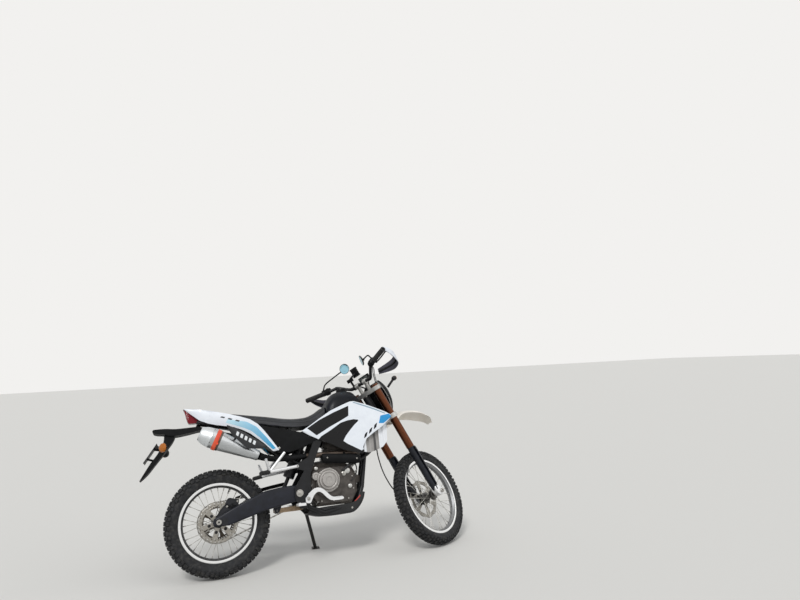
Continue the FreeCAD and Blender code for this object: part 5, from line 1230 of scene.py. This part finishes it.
sprocket = Stock().put(drilled_ring(84, 109.5, 45, 1, 0.34, 3.4, 45, -3, 3), 0)
for index in range(5):
    angle = index * 2 * math.pi / 5
    sprocket.put(prism(web(angle, [(32, 15), (60, 8), (86, 14)]), -3, 3), 0)
    sprocket.put(spun([(0, 0), (6, 0), (6, 5), (0, 5)], round_about(angle) * 36 + (0, 3, 0), sides=6), 1)
sprocket.put(lathe([(20, -3), (38, -3), (38, 3), (20, 3)], sides=48), 0)
sprocket.moved(REAR_CENTRE + (0, CHAIN_Y, 0)).make("toothed_sprocket", [chain_steel, axle_steel],
    "chain_steel", "rear_sprocket", "rear_wheel")

ARM_TOP = [(-34, 314), (-28, 335), (0, 346), (60, 375), (160, 420), (270, 462), (370, 476), (445, 480),
    (519, 467)]
ARM_LOW = [(-34, 312), (-28, 292), (0, 290), (60, 289), (160, 317), (270, 348), (370, 364), (440, 376),
    (519, 394)]
arm_places = np.concatenate([[-34, -33, -30, -24, -12], np.arange(0, 500, 20), [500, 510, 516, 519]])


def boxed(x, hand):
    """A rounded box section of one arm at this length: corner radius 13, less near the ends."""
    high = np.interp(x, *np.array(ARM_TOP).T)
    low = np.interp(x, *np.array(ARM_LOW).T)
    inner = np.interp(x, [80, 330], [90, 79])
    middle, half = inner + 15, 15 - max(0, (-22 - x) * 0.5, (x - 508) * 0.5)
    corner = min(12.5, half - 0.5, (high - low) / 2 - 0.1)
    return [(x, y * hand, z) for y, z in rounded_corners((middle, (high + low) / 2),
        (half, (high - low) / 2), corner)]


arm_weld = Stock()
for hand in (1, -1):
    arm_weld.put(rings_joined([boxed(x, hand) for x in arm_places]), 0)
    arm_weld.put(prism([(-26, 300), (-26, 330), (44, 336), (52, 330), (52, 300), (44, 294)], 119.5 * hand,
        121.5 * hand), 1)
    arm_weld.put(tube([(-36, 105 * hand, 313), (-26, 105 * hand, 313)], 6, 6), 2)
    bolt(arm_weld, (PIVOT_X, 109 * hand, PIVOT_Z), (0, hand, 0), 12, 2, 3.4)
arm_weld.put(prism([(396, 386), (347, 394), (347, 438), (400, 446)], -80, 80), 0)
for hand in (1, -1):
    arm_weld.put(prism([(368, 436), (396, 436), (421, 462), (421, 478), (405, 486), (389, 478)],
        16.4 * hand, 20 * hand), 0)
    arm_weld.put(prism([(352, 398), (392, 392), (366, 330), (350, 322), (336, 332), (336, 350)],
        30.4 * hand, 36 * hand), 0)
arm_weld.put(tube([(405, -20, 470), (405, 20, 470)], 6, 16), 2)
arm_weld.put(tube([(350, -36, 340), (350, 36, 340)], 6, 16), 2)
arm_weld.put(lathe([(10.4, -79), (24, -79), (24, 79), (10.4, 79)], (PIVOT_X, 0, PIVOT_Z), sides=32), 0)
arm_weld.make("swingarm_boxed", [arm_grey, caliper_dark, axle_steel], "arm_grey", "swingarm", bevel=1.5,
    sharp=42)

# Front end
fender_rows = smooth_path([(-36, 902, 58, 18), (70, 912, 64, 23), (190, 932, 73, 29), (350, 884, 69, 33),
    (440, 832, 56, 30), (490, 790, 42, 24), (508, 734, 20, 8)], 7)
fender_rings = []
for x, z, half, drop in fender_rows:
    u = np.linspace(-1, 1, 23)
    outer = points_at(x, half * u, z - drop * np.abs(u) ** 3.6)
    inner = points_at(x, half * u * 0.93, z - 4 - (drop - 3.4) * np.abs(u) ** 3.6)
    fender_rings.append(shell(outer, inner))
front_guard = Stock().put(rings_joined(fender_rings))
for y in (-20, 20):
    front_guard.put(tube([(12, y, 902), (12, y, 919.6)], 8, 14))
for x, y in ((12, -38), (12, 38), (58, -38), (58, 38)):
    bolt(front_guard, (x, y, 905 if x < 30 else 909.5), UP, 4.5, 1)
front_guard.make("front_fender_moulded", [fender_cream, axle_steel], "fender_cream", "front_fender",
    "steering")

mask_rows = smooth_path([(952, 50, 142, 92), (996, 78, 166, 92), (1040, 94, 182, 92), (1086, 100, 190, 89),
    (1130, 98, 192, 88), (1170, 82, 188, 98), (1200, 60, 182, 114)], 5)
mask_rings = []
for z, half, front, rear in mask_rows:
    u = np.linspace(-1, 1, 33)
    for_x = rear + (front - rear) * (1 - np.abs(u) ** 3.0) ** 0.6
    outer = points_at(for_x, half * u, z)
    inner = points_at(np.maximum(for_x - 4, rear), half * u * 0.95, z)
    mask_rings.append(shell(outer, inner))
mask = Stock().put(rings_joined(mask_rings), 0)
for y in (-95.5, 95.5):
    mask.put(tube([(48, y, 1062), (112, y, 1062)], 5, 10), 0)
edge_line = [(rear + 1.5, -half, z) for z, half, front, rear in mask_rows]
mask.put(tube(edge_line, 2.4, 8), 1)
mask.put(tube([(x, -y, z) for x, y, z in edge_line], 2.4, 8), 1)
mask_trim = injection_moulded("mask_trim_pale", "#9E9C98", "#B4B2AD", 0.45)
mask.make("mask_moulded", [panel_black, mask_trim], "panel_black", "headlight_mask", "steering", sharp=50)
lamp = Stock()
bowl = [(0, 0), (28, 0), (30, 3), (30, 26), (44, 30), (57, 46), (60, 62), (60.5, 66)]
glass = [(60.5, 66), (60.5, 74), (52, 88), (38, 94), (0, 97)]
for profile, finish in ((bowl, 1), (glass, 0)):
    lamp.put(spun(profile, (96, 0, 1082), AHEAD, 56), finish)
lamp.make("headlamp", [lamp_glass, bar_black], "lamp_glass", "headlight", "steering")

LEG_X, LEG_Y = 20, 98
LEG_FEET = [(LEG_X, LEG_Y * hand, 0) for hand in (1, -1)]
legs = Stock()
for foot in LEG_FEET:
    legs.put(spun([(27, 690), (27, 904), (26.9, 905), (26.9, 1184)], foot, UP, 48), 0)
    legs.put(spun([(0, 690), (27, 690)], foot, UP, 48), 1)
    cap = [(26.9, 1180), (26.9, 1184), (25, 1185), (17, 1185), (17, 1183), (0, 1183)]
    legs.put(spun(cap, foot, UP, 32), 2)
legs.make("upper_tubes", [tube_copper, bar_black, axle_steel], "tube_copper", "fork_tubes", "steering",
    sharp=35)

lower = Stock()
for hand in (1, -1):
    y = LEG_Y * hand
    lower.put(spun([(0, 360), (20, 360), (21, 364), (21, 676), (23, 678), (24.5, 682), (24.5, 689),
        (20, 689.6)], (LEG_X, y, 0), UP, 36), 0)
    guard_rings = []
    for z in np.concatenate([[390, 392, 397], np.linspace(405, 668, 14), [676, 682, 685]]):
        swell = np.interp(z, [390, 397, 520, 640, 676, 685], [29, 32, 33.6, 34.6, 33.5, 30])
        angle = np.linspace(-1.5, 1.5, 19)
        outer, inner = (points_at(LEG_X + r * np.cos(angle), y + r * np.sin(angle), z)
            for r in (swell, swell - 4))
        guard_rings.append(shell(outer, inner))
    lower.put(rings_joined(guard_rings), 1)
    shoe = []
    angle = np.linspace(0, 2 * math.pi, 25)[:-1]
    for out, half_x, low_z, high_z in ((80, 21, 314, 388), (82, 23, 311, 392), (116, 23, 311, 392),
            (118, 21, 314, 388)):
        ring_x = AXLE_X - 14 + (half_x + 9) * np.cos(angle) * 0.72 + 8 * np.cos(angle)
        ring_z = (low_z + high_z) / 2 + (high_z - low_z) / 2 * np.sin(angle)
        shoe.append(points_at(np.clip(ring_x + (350 - ring_z) * 0.2, -2, 70), out * hand, ring_z))
    lower.put(rings_joined(shoe), 2)
    lower.put(lathe([(9.3, 78), (23, 78), (24, 79), (24, 118), (23, 120), (9.3, 120)], (AXLE_X, 0, AXLE_Z),
        (0, hand, 0), 40), 2)
    bolt(lower, (34, 120 * hand, 386), (0, hand, 0), 4, 3)
lower.make("lower_legs", [leg_black, leg_black, pedal_alloy, axle_steel], "leg_black", "fork_legs",
    "steering", sharp=35)


def clamp_outline(reach):
    """Plan of a fork clamp: round ears about both legs joined by a waisted bridge."""
    points = []
    for centre_y, start in ((LEG_Y, 0.0), (-LEG_Y, math.pi)):
        for step in range(13):
            angle = start + math.pi * step / 12
            points.append((LEG_X + reach * math.cos(angle), centre_y + reach * math.sin(angle)))
        if start == 0.0:
            points += [(-20, 64), (-27, 32), (-28, 0), (-27, -32), (-20, -64)]
    return points + [(34, -60), (30, -30), (30, 30), (34, 60)]


BAR_X, BAR_Z = 30, 1236
clamps = Stock()
for z_from, z_to in ((920, 952), (1142, 1170)):
    clamps.put(prism(clamp_outline(35), z_from, z_to, 2), 0)
    for hand in (1, -1):
        for up in (8, (z_to - z_from) - 8):
            bolt(clamps, (-2, 64 * hand, z_from + up), (-1, 0, 0), 3.5, 1)
clamps.put(spun([(0, 1168), (17, 1168), (17, 1176), (14, 1179), (0, 1179)], (0, 0, 0), UP, 6), 1)
clamps.put(spun([(0, 924), (15, 924), (15, 1168), (0, 1168)], (0, 0, 0), UP, 24), 1)
for y in (38, -38):
    clamps.put(spun([(12, 1162), (12, 1222), (14, 1226)], (BAR_X, y, 0), UP, 24), 0)
    clamps.put(lathe([(11.4, -14), (19, -14), (20, -13), (20, 13), (19, 14), (11.4, 14)], (BAR_X, y, BAR_Z),
        LEFT, 32), 0)
    for dx in (-14, 14):
        clamps.put(tube([(BAR_X + dx, y, BAR_Z), (BAR_X + dx, y, 1256)], 5, 10), 0)
        bolt(clamps, (BAR_X + dx, y, 1254), UP, 3, 1)
clamps.make("fork_crowns", [clamp_silver, axle_steel], "clamp_silver", "fork_clamps", "steering", bevel=1.4,
    sharp=35)

BAR_HALF = [(BAR_X, 0, BAR_Z), (BAR_X, 76, BAR_Z), (28, 98, 1237), (14, 124, 1256), (-10, 176, 1300),
    (-22, 194, 1304), (-64, 245, 1312), (-100, 392, 1338)]
bar_run = smooth_path([(x, -y, z) for x, y, z in reversed(BAR_HALF[1:])] + BAR_HALF, 5)
Stock().put(tube(bar_run, 11, 20)).make("bent_bar", [bar_black], "bar_black", "handlebar", "steering",
    sharp=60)
GRIP_END = np.array(BAR_HALF[-1], float)
grip_way = unit(GRIP_END - BAR_HALF[-2])


def on_bar(back, ahead=0.0, up=0.0):
    """A point measured back from the bar's left end, then forwards and up."""
    return GRIP_END - grip_way * back + np.array([ahead, 0, up])


grips = Stock()
profile = [(11.5, -120), (17, -119.5), (17, -117), (17, -115), (17, -113)]
for step in range(24):
    profile += [(17, -112 + step * 4.5), (16.1, -110.8 + step * 4.5), (16.1, -109 + step * 4.5),
        (17, -108.4 + step * 4.5)]
profile += [(17, -3), (16, -1), (13, 0), (11.5, 0)]
grips.both(spun(profile, GRIP_END, grip_way, 24))
grips.make("ribbed_grips", [grip_rubber], "grip_rubber", "grips", "steering", sharp=30)

levers = Stock()
levers.both(lathe([(11.4, -149), (17, -149), (18, -147), (18, -126), (17, -124), (11.4, -124)], GRIP_END,
    grip_way, 24))
levers.both(tube(eased([on_bar(144, 12, 0), on_bar(148, 34, -6), on_bar(152, 44, -10)], 2), 9, 12))
blade_line = eased([on_bar(152, 44, -10), on_bar(126, 53, -12), on_bar(90, 48, -13), on_bar(40, 39, -14),
    on_bar(8, 34, -14)])
levers.both(tube(blade_line, np.interp(np.linspace(0, 1, len(blade_line)), [0, 0.2, 0.9, 1],
    [6.5, 5, 4.6, 6.5]), 12))
levers.make("lever_blades", [bar_black], "lever_black", "levers", "steering", sharp=45)
pods = Stock()
pods.both(lathe([(11.4, -186), (18, -185), (21, -181), (21, -160), (19, -154), (11.4, -152)], GRIP_END,
    grip_way, 24), 0)
eight = [(-1, -0.7), (-0.7, -1), (0.7, -1), (1, -0.7), (1, 0.7), (0.7, 1), (-0.7, 1), (-1, 0.7)]
pods.both(rings_joined([[on_bar(back, 10 + cx * (15 - inset), 14 + cz * (12 - inset))
    for cx, cz in eight] for back, inset in ((188, 4), (186, 1), (184, 0), (150, 0), (148, 1), (146, 4))]),
    0)
pods.both(tube([on_bar(178, 12, 26), on_bar(160, 12, 26)], 4, 10), 1)
for hand, route in ((1, [on_bar(186, 14, 6), on_bar(214, 26, 4), (30, 150, 1262), (70, 84, 1240),
        (104, 52, 1204), (112, 40, 1150)]), (-1, [on_bar(186, 14, 6), on_bar(210, 30, 12), (40, 146, 1286),
        (84, 92, 1250), (116, 50, 1200), (118, 30, 1150)])):
    line = smooth_path(np.array(route) * (1, hand, 1), 6)
    pods.put(tube(line, 3.2, 8), 1)
    pods.put(tube(line + (6, 3 * hand, -9), 2.6, 8), 1)
pods.make("switch_pods", [panel_black, bar_black], "lever_black", body="steering", sharp=35)

# Hand guards: a bowed shell, an inner brace and a collar on the grip's end
shell_white = injection_moulded("guard_shell_white", "#D5D9E0", "#E6EAF0", 0.35, coat=0.2)
# Inside face of the white guard shells: drawn grey-mauve as painted shade, not a colour of its own
shell_shade = injection_moulded("guard_shell_inside_painted_shade", "#3A3942", "#4C4A55", 0.55)
guard_edges = smooth_path([(-84, 1357, -84, 1325, 402), (-66, 1345, -68, 1306, 405),
    (-38, 1329, -44, 1277, 404), (-4, 1308, -14, 1244, 395), (24, 1287, 12, 1217, 378),
    (40, 1273, 23, 1201, 346), (45, 1264, 28, 1196, 308), (40, 1261, 23, 1206, 250),
    (27, 1260, 11, 1223, 192)], 6)
guard_rings = []
for upper_x, upper_z, lower_x, lower_z, y in guard_edges:
    share = np.linspace(0, 1, 13)
    bow = 4 * np.sin(math.pi * share)
    side = np.clip((y - 340) / 60, 0, 1)
    outer = points_at(upper_x + (lower_x - upper_x) * share + bow * (1 - side), y + bow * side,
        upper_z + (lower_z - upper_z) * share)
    inner = outer - np.array([3.6 * (1 - side), 3.6 * side, 0])
    guard_rings.append(shell(outer, inner))
guards = Stock()
guards.both(rings_joined(guard_rings), 0)
# Faces on the inner half of each ring take the painted shade
guards.finish = [1 if len(face) == 4 and all(12 < corner % 26 for corner in face) else 0
    for face in rings_joined(guard_rings)[1]] * 2
brace = eased([(12, 196, 1240), (33, 250, 1234), (38, 308, 1231), (32, 346, 1238), (12, 378, 1252),
    (-44, 398, 1304), (-84, 397, 1336)], 2)
guards.both(tube(brace, 7, 12), 2)
guards.both(lathe([(7, 0.4), (17, 0.4), (17, 14), (15, 16), (7, 16)], GRIP_END, grip_way, 28), 3)
guards.both(tube([on_bar(-9, 13, 0), on_bar(-11, 22, 0)], 6, 12), 3)
guards.make("hand_guard_shells", [shell_white, shell_shade, bar_black, bar_black], "guard_white",
    "hand_guards", "steering", sharp=50)

# Mirrors
mirrors = Stock()
CAD_WAY = unit((-1, -0.35, 0.1))
for hand, centre, way in ((1, (60, 84, 1392), CAD_WAY), (-1, (10, -128, 1368), unit((-0.72, 0.69, 0.1)))):
    middle = np.array(centre, float) + CAD_WAY * 8
    mirrors.put(spun([(0, -8), (16, -7.5), (28, -4), (35, 1), (37, 5), (37, 7), (35.6, 8), (34.4, 7)],
        middle, way, 56), 1)
    mirrors.put(spun([(34.4, 7), (20, 7.2), (0, 7.3)], middle, way, 56), 0)
    root = on_bar(136, 0, 16) * (1, hand, 1)
    elbow = root + np.array([24, -30 * hand, 40])
    mirrors.put(tube(eased([root, root + (elbow - root) * 0.5, elbow, elbow + (middle - elbow) * 0.4,
        middle - way * 7], 2), 5, 12), 1)
    mirrors.put(spun([(0, -4), (9, -4), (10, -2), (10, 6), (8, 9), (0, 9)], root, UP, 6), 1)
    mirrors.put(spun([(0, -9), (7, -7), (9, 0), (7, 7), (0, 9)], middle - way * 10, way, 20), 1)
mirrors.make("round_mirrors", [mirror_face, bar_black], "mirror_face", "mirrors", "steering", sharp=50)

front_lamps = Stock()
for hand in (1, -1):
    front_lamps.put(tube(eased([(134, 106 * hand, 1120), (150, 126 * hand, 1132), (176, 152 * hand, 1149)],
        2), 8.5, 12), 1)
    front_lamps.put(spun([(0, 0), (7, 1), (13, 5), (16, 12), (17, 22), (16, 30)], (161, 160 * hand, 1152),
        AHEAD, 24), 1)
    front_lamps.put(spun([(16, 30), (15, 34), (9, 37.5), (0, 38.5)], (161, 160 * hand, 1152), AHEAD, 24), 0)
front_lamps.make("front_winkers", [lens_orange, bar_black], "lens_orange", "front_indicators", "steering",
    sharp=50)


def rounded_box(low, high, corner, steps=4):
    """A box with its upright edges rounded in plan and its faces' edges chamfered."""
    low, high = np.asarray(low, float), np.asarray(high, float)
    rings = []
    for z, inset in ((low[2], 2.0), (low[2] + 0.8, 0.5), (low[2] + 2, 0), (high[2] - 2, 0),
            (high[2] - 0.8, 0.5), (high[2], 2.0)):
        corners = rounded_corners((high + low)[:2] / 2, (high - low) / 2 - inset, corner, steps)
        rings.append([(x, y, z) for x, y in corners])
    return rings_joined(rings)


display = injection_moulded("display_grey", "#39413F", "#4A5350", 0.2, coat=0.5)
dash = Stock()
dash.put(rounded_box((78, -48, 1226), (100, 48, 1280), 7), 0)
dash.put(rounded_box((77.4, -40, 1234), (80, 40, 1272), 1, 2), 2)
dash.put(prism([(32, 1170.4), (64, 1170.4), (98, 1228), (86, 1228), (58, 1177), (32, 1177)], -18, 18), 0)
dash.put(lathe([(11.4, -9), (17, -9), (18, -8), (18, 8), (17, 9), (11.4, 9)], (BAR_X, 66, BAR_Z), LEFT, 28),
    1)
dash.put(tube([(26, 66, 1248), (4, 52, 1292)], 7.6, 14), 1)
dash.put(rounded_box((-14, 32, 1284), (20, 72, 1308), 6), 0)
dash.put(tube([(6, 48, 1306), (34, 8, 1322)], 7, 14), 1)
dash.put(rounded_box((28, -24, 1296), (44, 32, 1362), 5), 0)
for y, z in ((-20, 1302), (28, 1302), (-20, 1356), (28, 1356)):
    dash.put(tube([(27, y, z), (45, y, z)], 5, 10), 1)
dash.make("dash_and_holder", [panel_black, bar_black, display], "panel_black", "instrument", "steering",
    bevel=1, sharp=35)

# Calipers
pads = Stock()
CALIPER = [(40, 400), (44, 424), (60, 446), (90, 440), (120, 430), (118, 408), (112, 384), (70, 380)]
for y_from, y_to in ((-84, -70.5), (-62.5, -50.5)):
    pads.put(prism(closed_curve(CALIPER, 3), y_from, y_to), 0)
pads.put(prism([(58, 440), (60, 446), (90, 440), (120, 430), (119, 420), (90, 436)], -71, -62), 0)
pads.put(prism(closed_curve([(-18, 296), (20, 294), (60, 330), (112, 384), (70, 420), (30, 402), (-6, 360),
    (-20, 332)], 3), -84, -78.5), 1)
for x, z in ((66, 416), (98, 412)):
    pads.put(spun([(0, 0), (12, 0), (12, 1.5), (9, 2), (9, 0.6), (0, 0.6)], (x, -83.6, z), RIGHT, 24), 1)
for x, z in ((50, 398), (112, 422)):
    bolt(pads, (x, -83.8, z), RIGHT, 5, 2)
pads.make("rear_caliper_cast", [caliper_dark, caliper_dark, axle_steel], "caliper_dark", "rear_caliper",
    bevel=1.6, sharp=40)


# Skid plate
def tray_section(x, z, slope, rise):
    """A U turned with the plate's slope: walls that rise, round corners and a flat floor, 4 thick."""
    half, corner = 86, 16
    normal = np.array([-math.sin(slope), math.cos(slope)])
    outer = [(-half, rise)] + [(-half + corner - corner * math.cos(a), corner - corner * math.sin(a))
        for a in np.linspace(0, math.pi / 2, 5)]
    outer += [(-y, up) for y, up in reversed(outer)]
    inner = [(y * (half - 4) / half, max(up, 4)) for y, up in reversed(outer)]
    return [(x + normal[0] * up, y, z + normal[1] * up) for y, up in outer + inner]


tray_line = smooth_path([(536, 299, 22), (580, 285, 40), (627, 274, 54), (700, 272, 60), (780, 274, 60),
    (832, 280, 58), (872, 308, 50), (902, 350, 40), (916, 392, 26)], 6)
slopes = np.arctan2(np.gradient(tray_line[:, 1]), np.gradient(tray_line[:, 0]))
tray = Stock().put(rings_joined([tray_section(x, z, slope, rise)
    for (x, z, rise), slope in zip(tray_line, slopes)]))
for x, z in ((612, 300), (820, 306)):
    for hand in (1, -1):
        bolt(tray, (x, 86 * hand, z), (0, hand, 0), 5, 1)
tray_plastic = injection_moulded("skid_plate_black_marked", "#0C0D0F", "#141518", 0.55)
overlaid(tray_plastic, (("red_patch", "#A8382F"),))
tray_piece = tray.make("skid_tray", [tray_plastic, axle_steel], "skid_black", "skid_plate", sharp=50)
lay_on(tray_piece, {"red_patch": [[(846, 330), (884, 372), (872, 384), (836, 344)]]})

# Chain guard, cooling hoses, lines and bolts about the engine
trim = Stock()
guard_rows = [(110, 452), (180, 470), (262, 487), (340, 500), (424, 511)]
trim.put(rings_joined([[(x, 58, z), (x, 84, z), (x, 84, z - 22), (x, 81, z - 22), (x, 81, z - 3),
    (x, 58, z - 3)] for x, z in smooth_path(guard_rows, 4)]), 0)
for hand in (1, -1):
    trim.put(tube(smooth_path([(990, 80 * hand, 664), (960, 82 * hand, 634), (900, 70 * hand, 600),
        (860, 58 * hand, 580), (824, 52 * hand, 572)], 5), 10, 14), 1)
    trim.put(spun([(0, 0), (22, 0), (22, 3), (0, 3)], (PIVOT_X, 127 * hand, PIVOT_Z), (0, hand, 0), 28), 2)
    bolt(trim, (PIVOT_X, 130 * hand, PIVOT_Z), (0, hand, 0), 13, 2, 6)
for route, radius, sides in (
        # breather, water hose, cable
        ([(540, -110, 560), (560, -112, 590), (606, -112, 604), (660, -108, 600), (700, -100, 588)], 5, 10),
        ([(770, -112, 540), (800, -122, 560), (838, -118, 588), (862, -96, 626), (880, -80, 668)], 8, 12),
        ([(820, -112, 470), (852, -112, 500), (868, -96, 548), (862, -70, 590)], 4, 10)):
    trim.put(tube(smooth_path(route, 5), radius, sides), 1)
for profile, spot, sides in (
        # plugs and caps on the crankcase
        ([(0, 0), (20, 0), (20, 6), (16, 12), (8, 14), (0, 14)], (800, -104, 536), 28),
        ([(0, 0), (13, 0), (13, 8), (9, 11), (0, 11)], (812, -104, 440), 24),
        ([(0, 0), (11, 0), (11, 14), (8, 16), (0, 16)], (598, -104, 566), 20)):
    trim.put(spun(profile, spot, RIGHT, sides), 3)
for x, z in ((850, 520), (836, 556), (588, 352), (560, 460)):
    trim.put(tube([(x, -96, z), (x + 12, -112, z + 14)], 4, 8), 3)
trim.make("lines_and_guards", [panel_black, hose_rubber, axle_steel, clamp_silver], "guard_black", sharp=40)

# Floor and light
floor_mesh = bpy.data.meshes.new("floor")
floor_mesh.from_pydata([(-60, -60, 0), (60, -60, 0), (60, 60, 0), (-60, 60, 0)], [], [(0, 1, 2, 3)])
floor = bpy.data.objects.new("floor", floor_mesh)
bpy.context.scene.collection.objects.link(floor)
floor_mesh.materials.append(blank("studio_floor", {"Base Color": linear("#D3D1CC"), "Roughness": 0.9})[0])
world = bpy.data.worlds.new("studio")
world.use_nodes = True
bpy.context.scene.world = world
sky = world.node_tree
sky.nodes.clear()
soft = add(sky, "Background", {"Color": (0.93, 0.96, 1, 1), "Strength": 0.6})
white = add(sky, "Background", {"Color": linear("#F2F1EF"), "Strength": 1.0})
seen = add(sky, "LightPath")
shows = add(sky, "Math", {0: seen.outputs["Is Camera Ray"], 1: seen.outputs["Is Glossy Ray"]},
    operation="MAXIMUM")
shows = add(sky, "Math", {0: shows.outputs[0], 1: seen.outputs["Is Transmission Ray"]}, operation="MAXIMUM")
joined_sky = add(sky, "MixShader", {0: shows.outputs[0], 1: soft.outputs[0], 2: white.outputs[0]})
sky.links.new(joined_sky.outputs[0], add(sky, "OutputWorld").inputs[0])
for name, strength, angle, turn in (("key", 1.5, 16.0, (0.72, -0.18, -0.35)),
        ("fill", 0.5, 60.0, (0.9, 0.2, 0.8))):
    lamp_data = bpy.data.lights.new(name, "SUN")
    lamp_data.energy = strength
    lamp_data.angle = math.radians(angle)
    lamp = bpy.data.objects.new(name, lamp_data)
    lamp.rotation_euler = turn
    bpy.context.scene.collection.objects.link(lamp)
bpy.context.scene.view_settings.view_transform = "Standard"
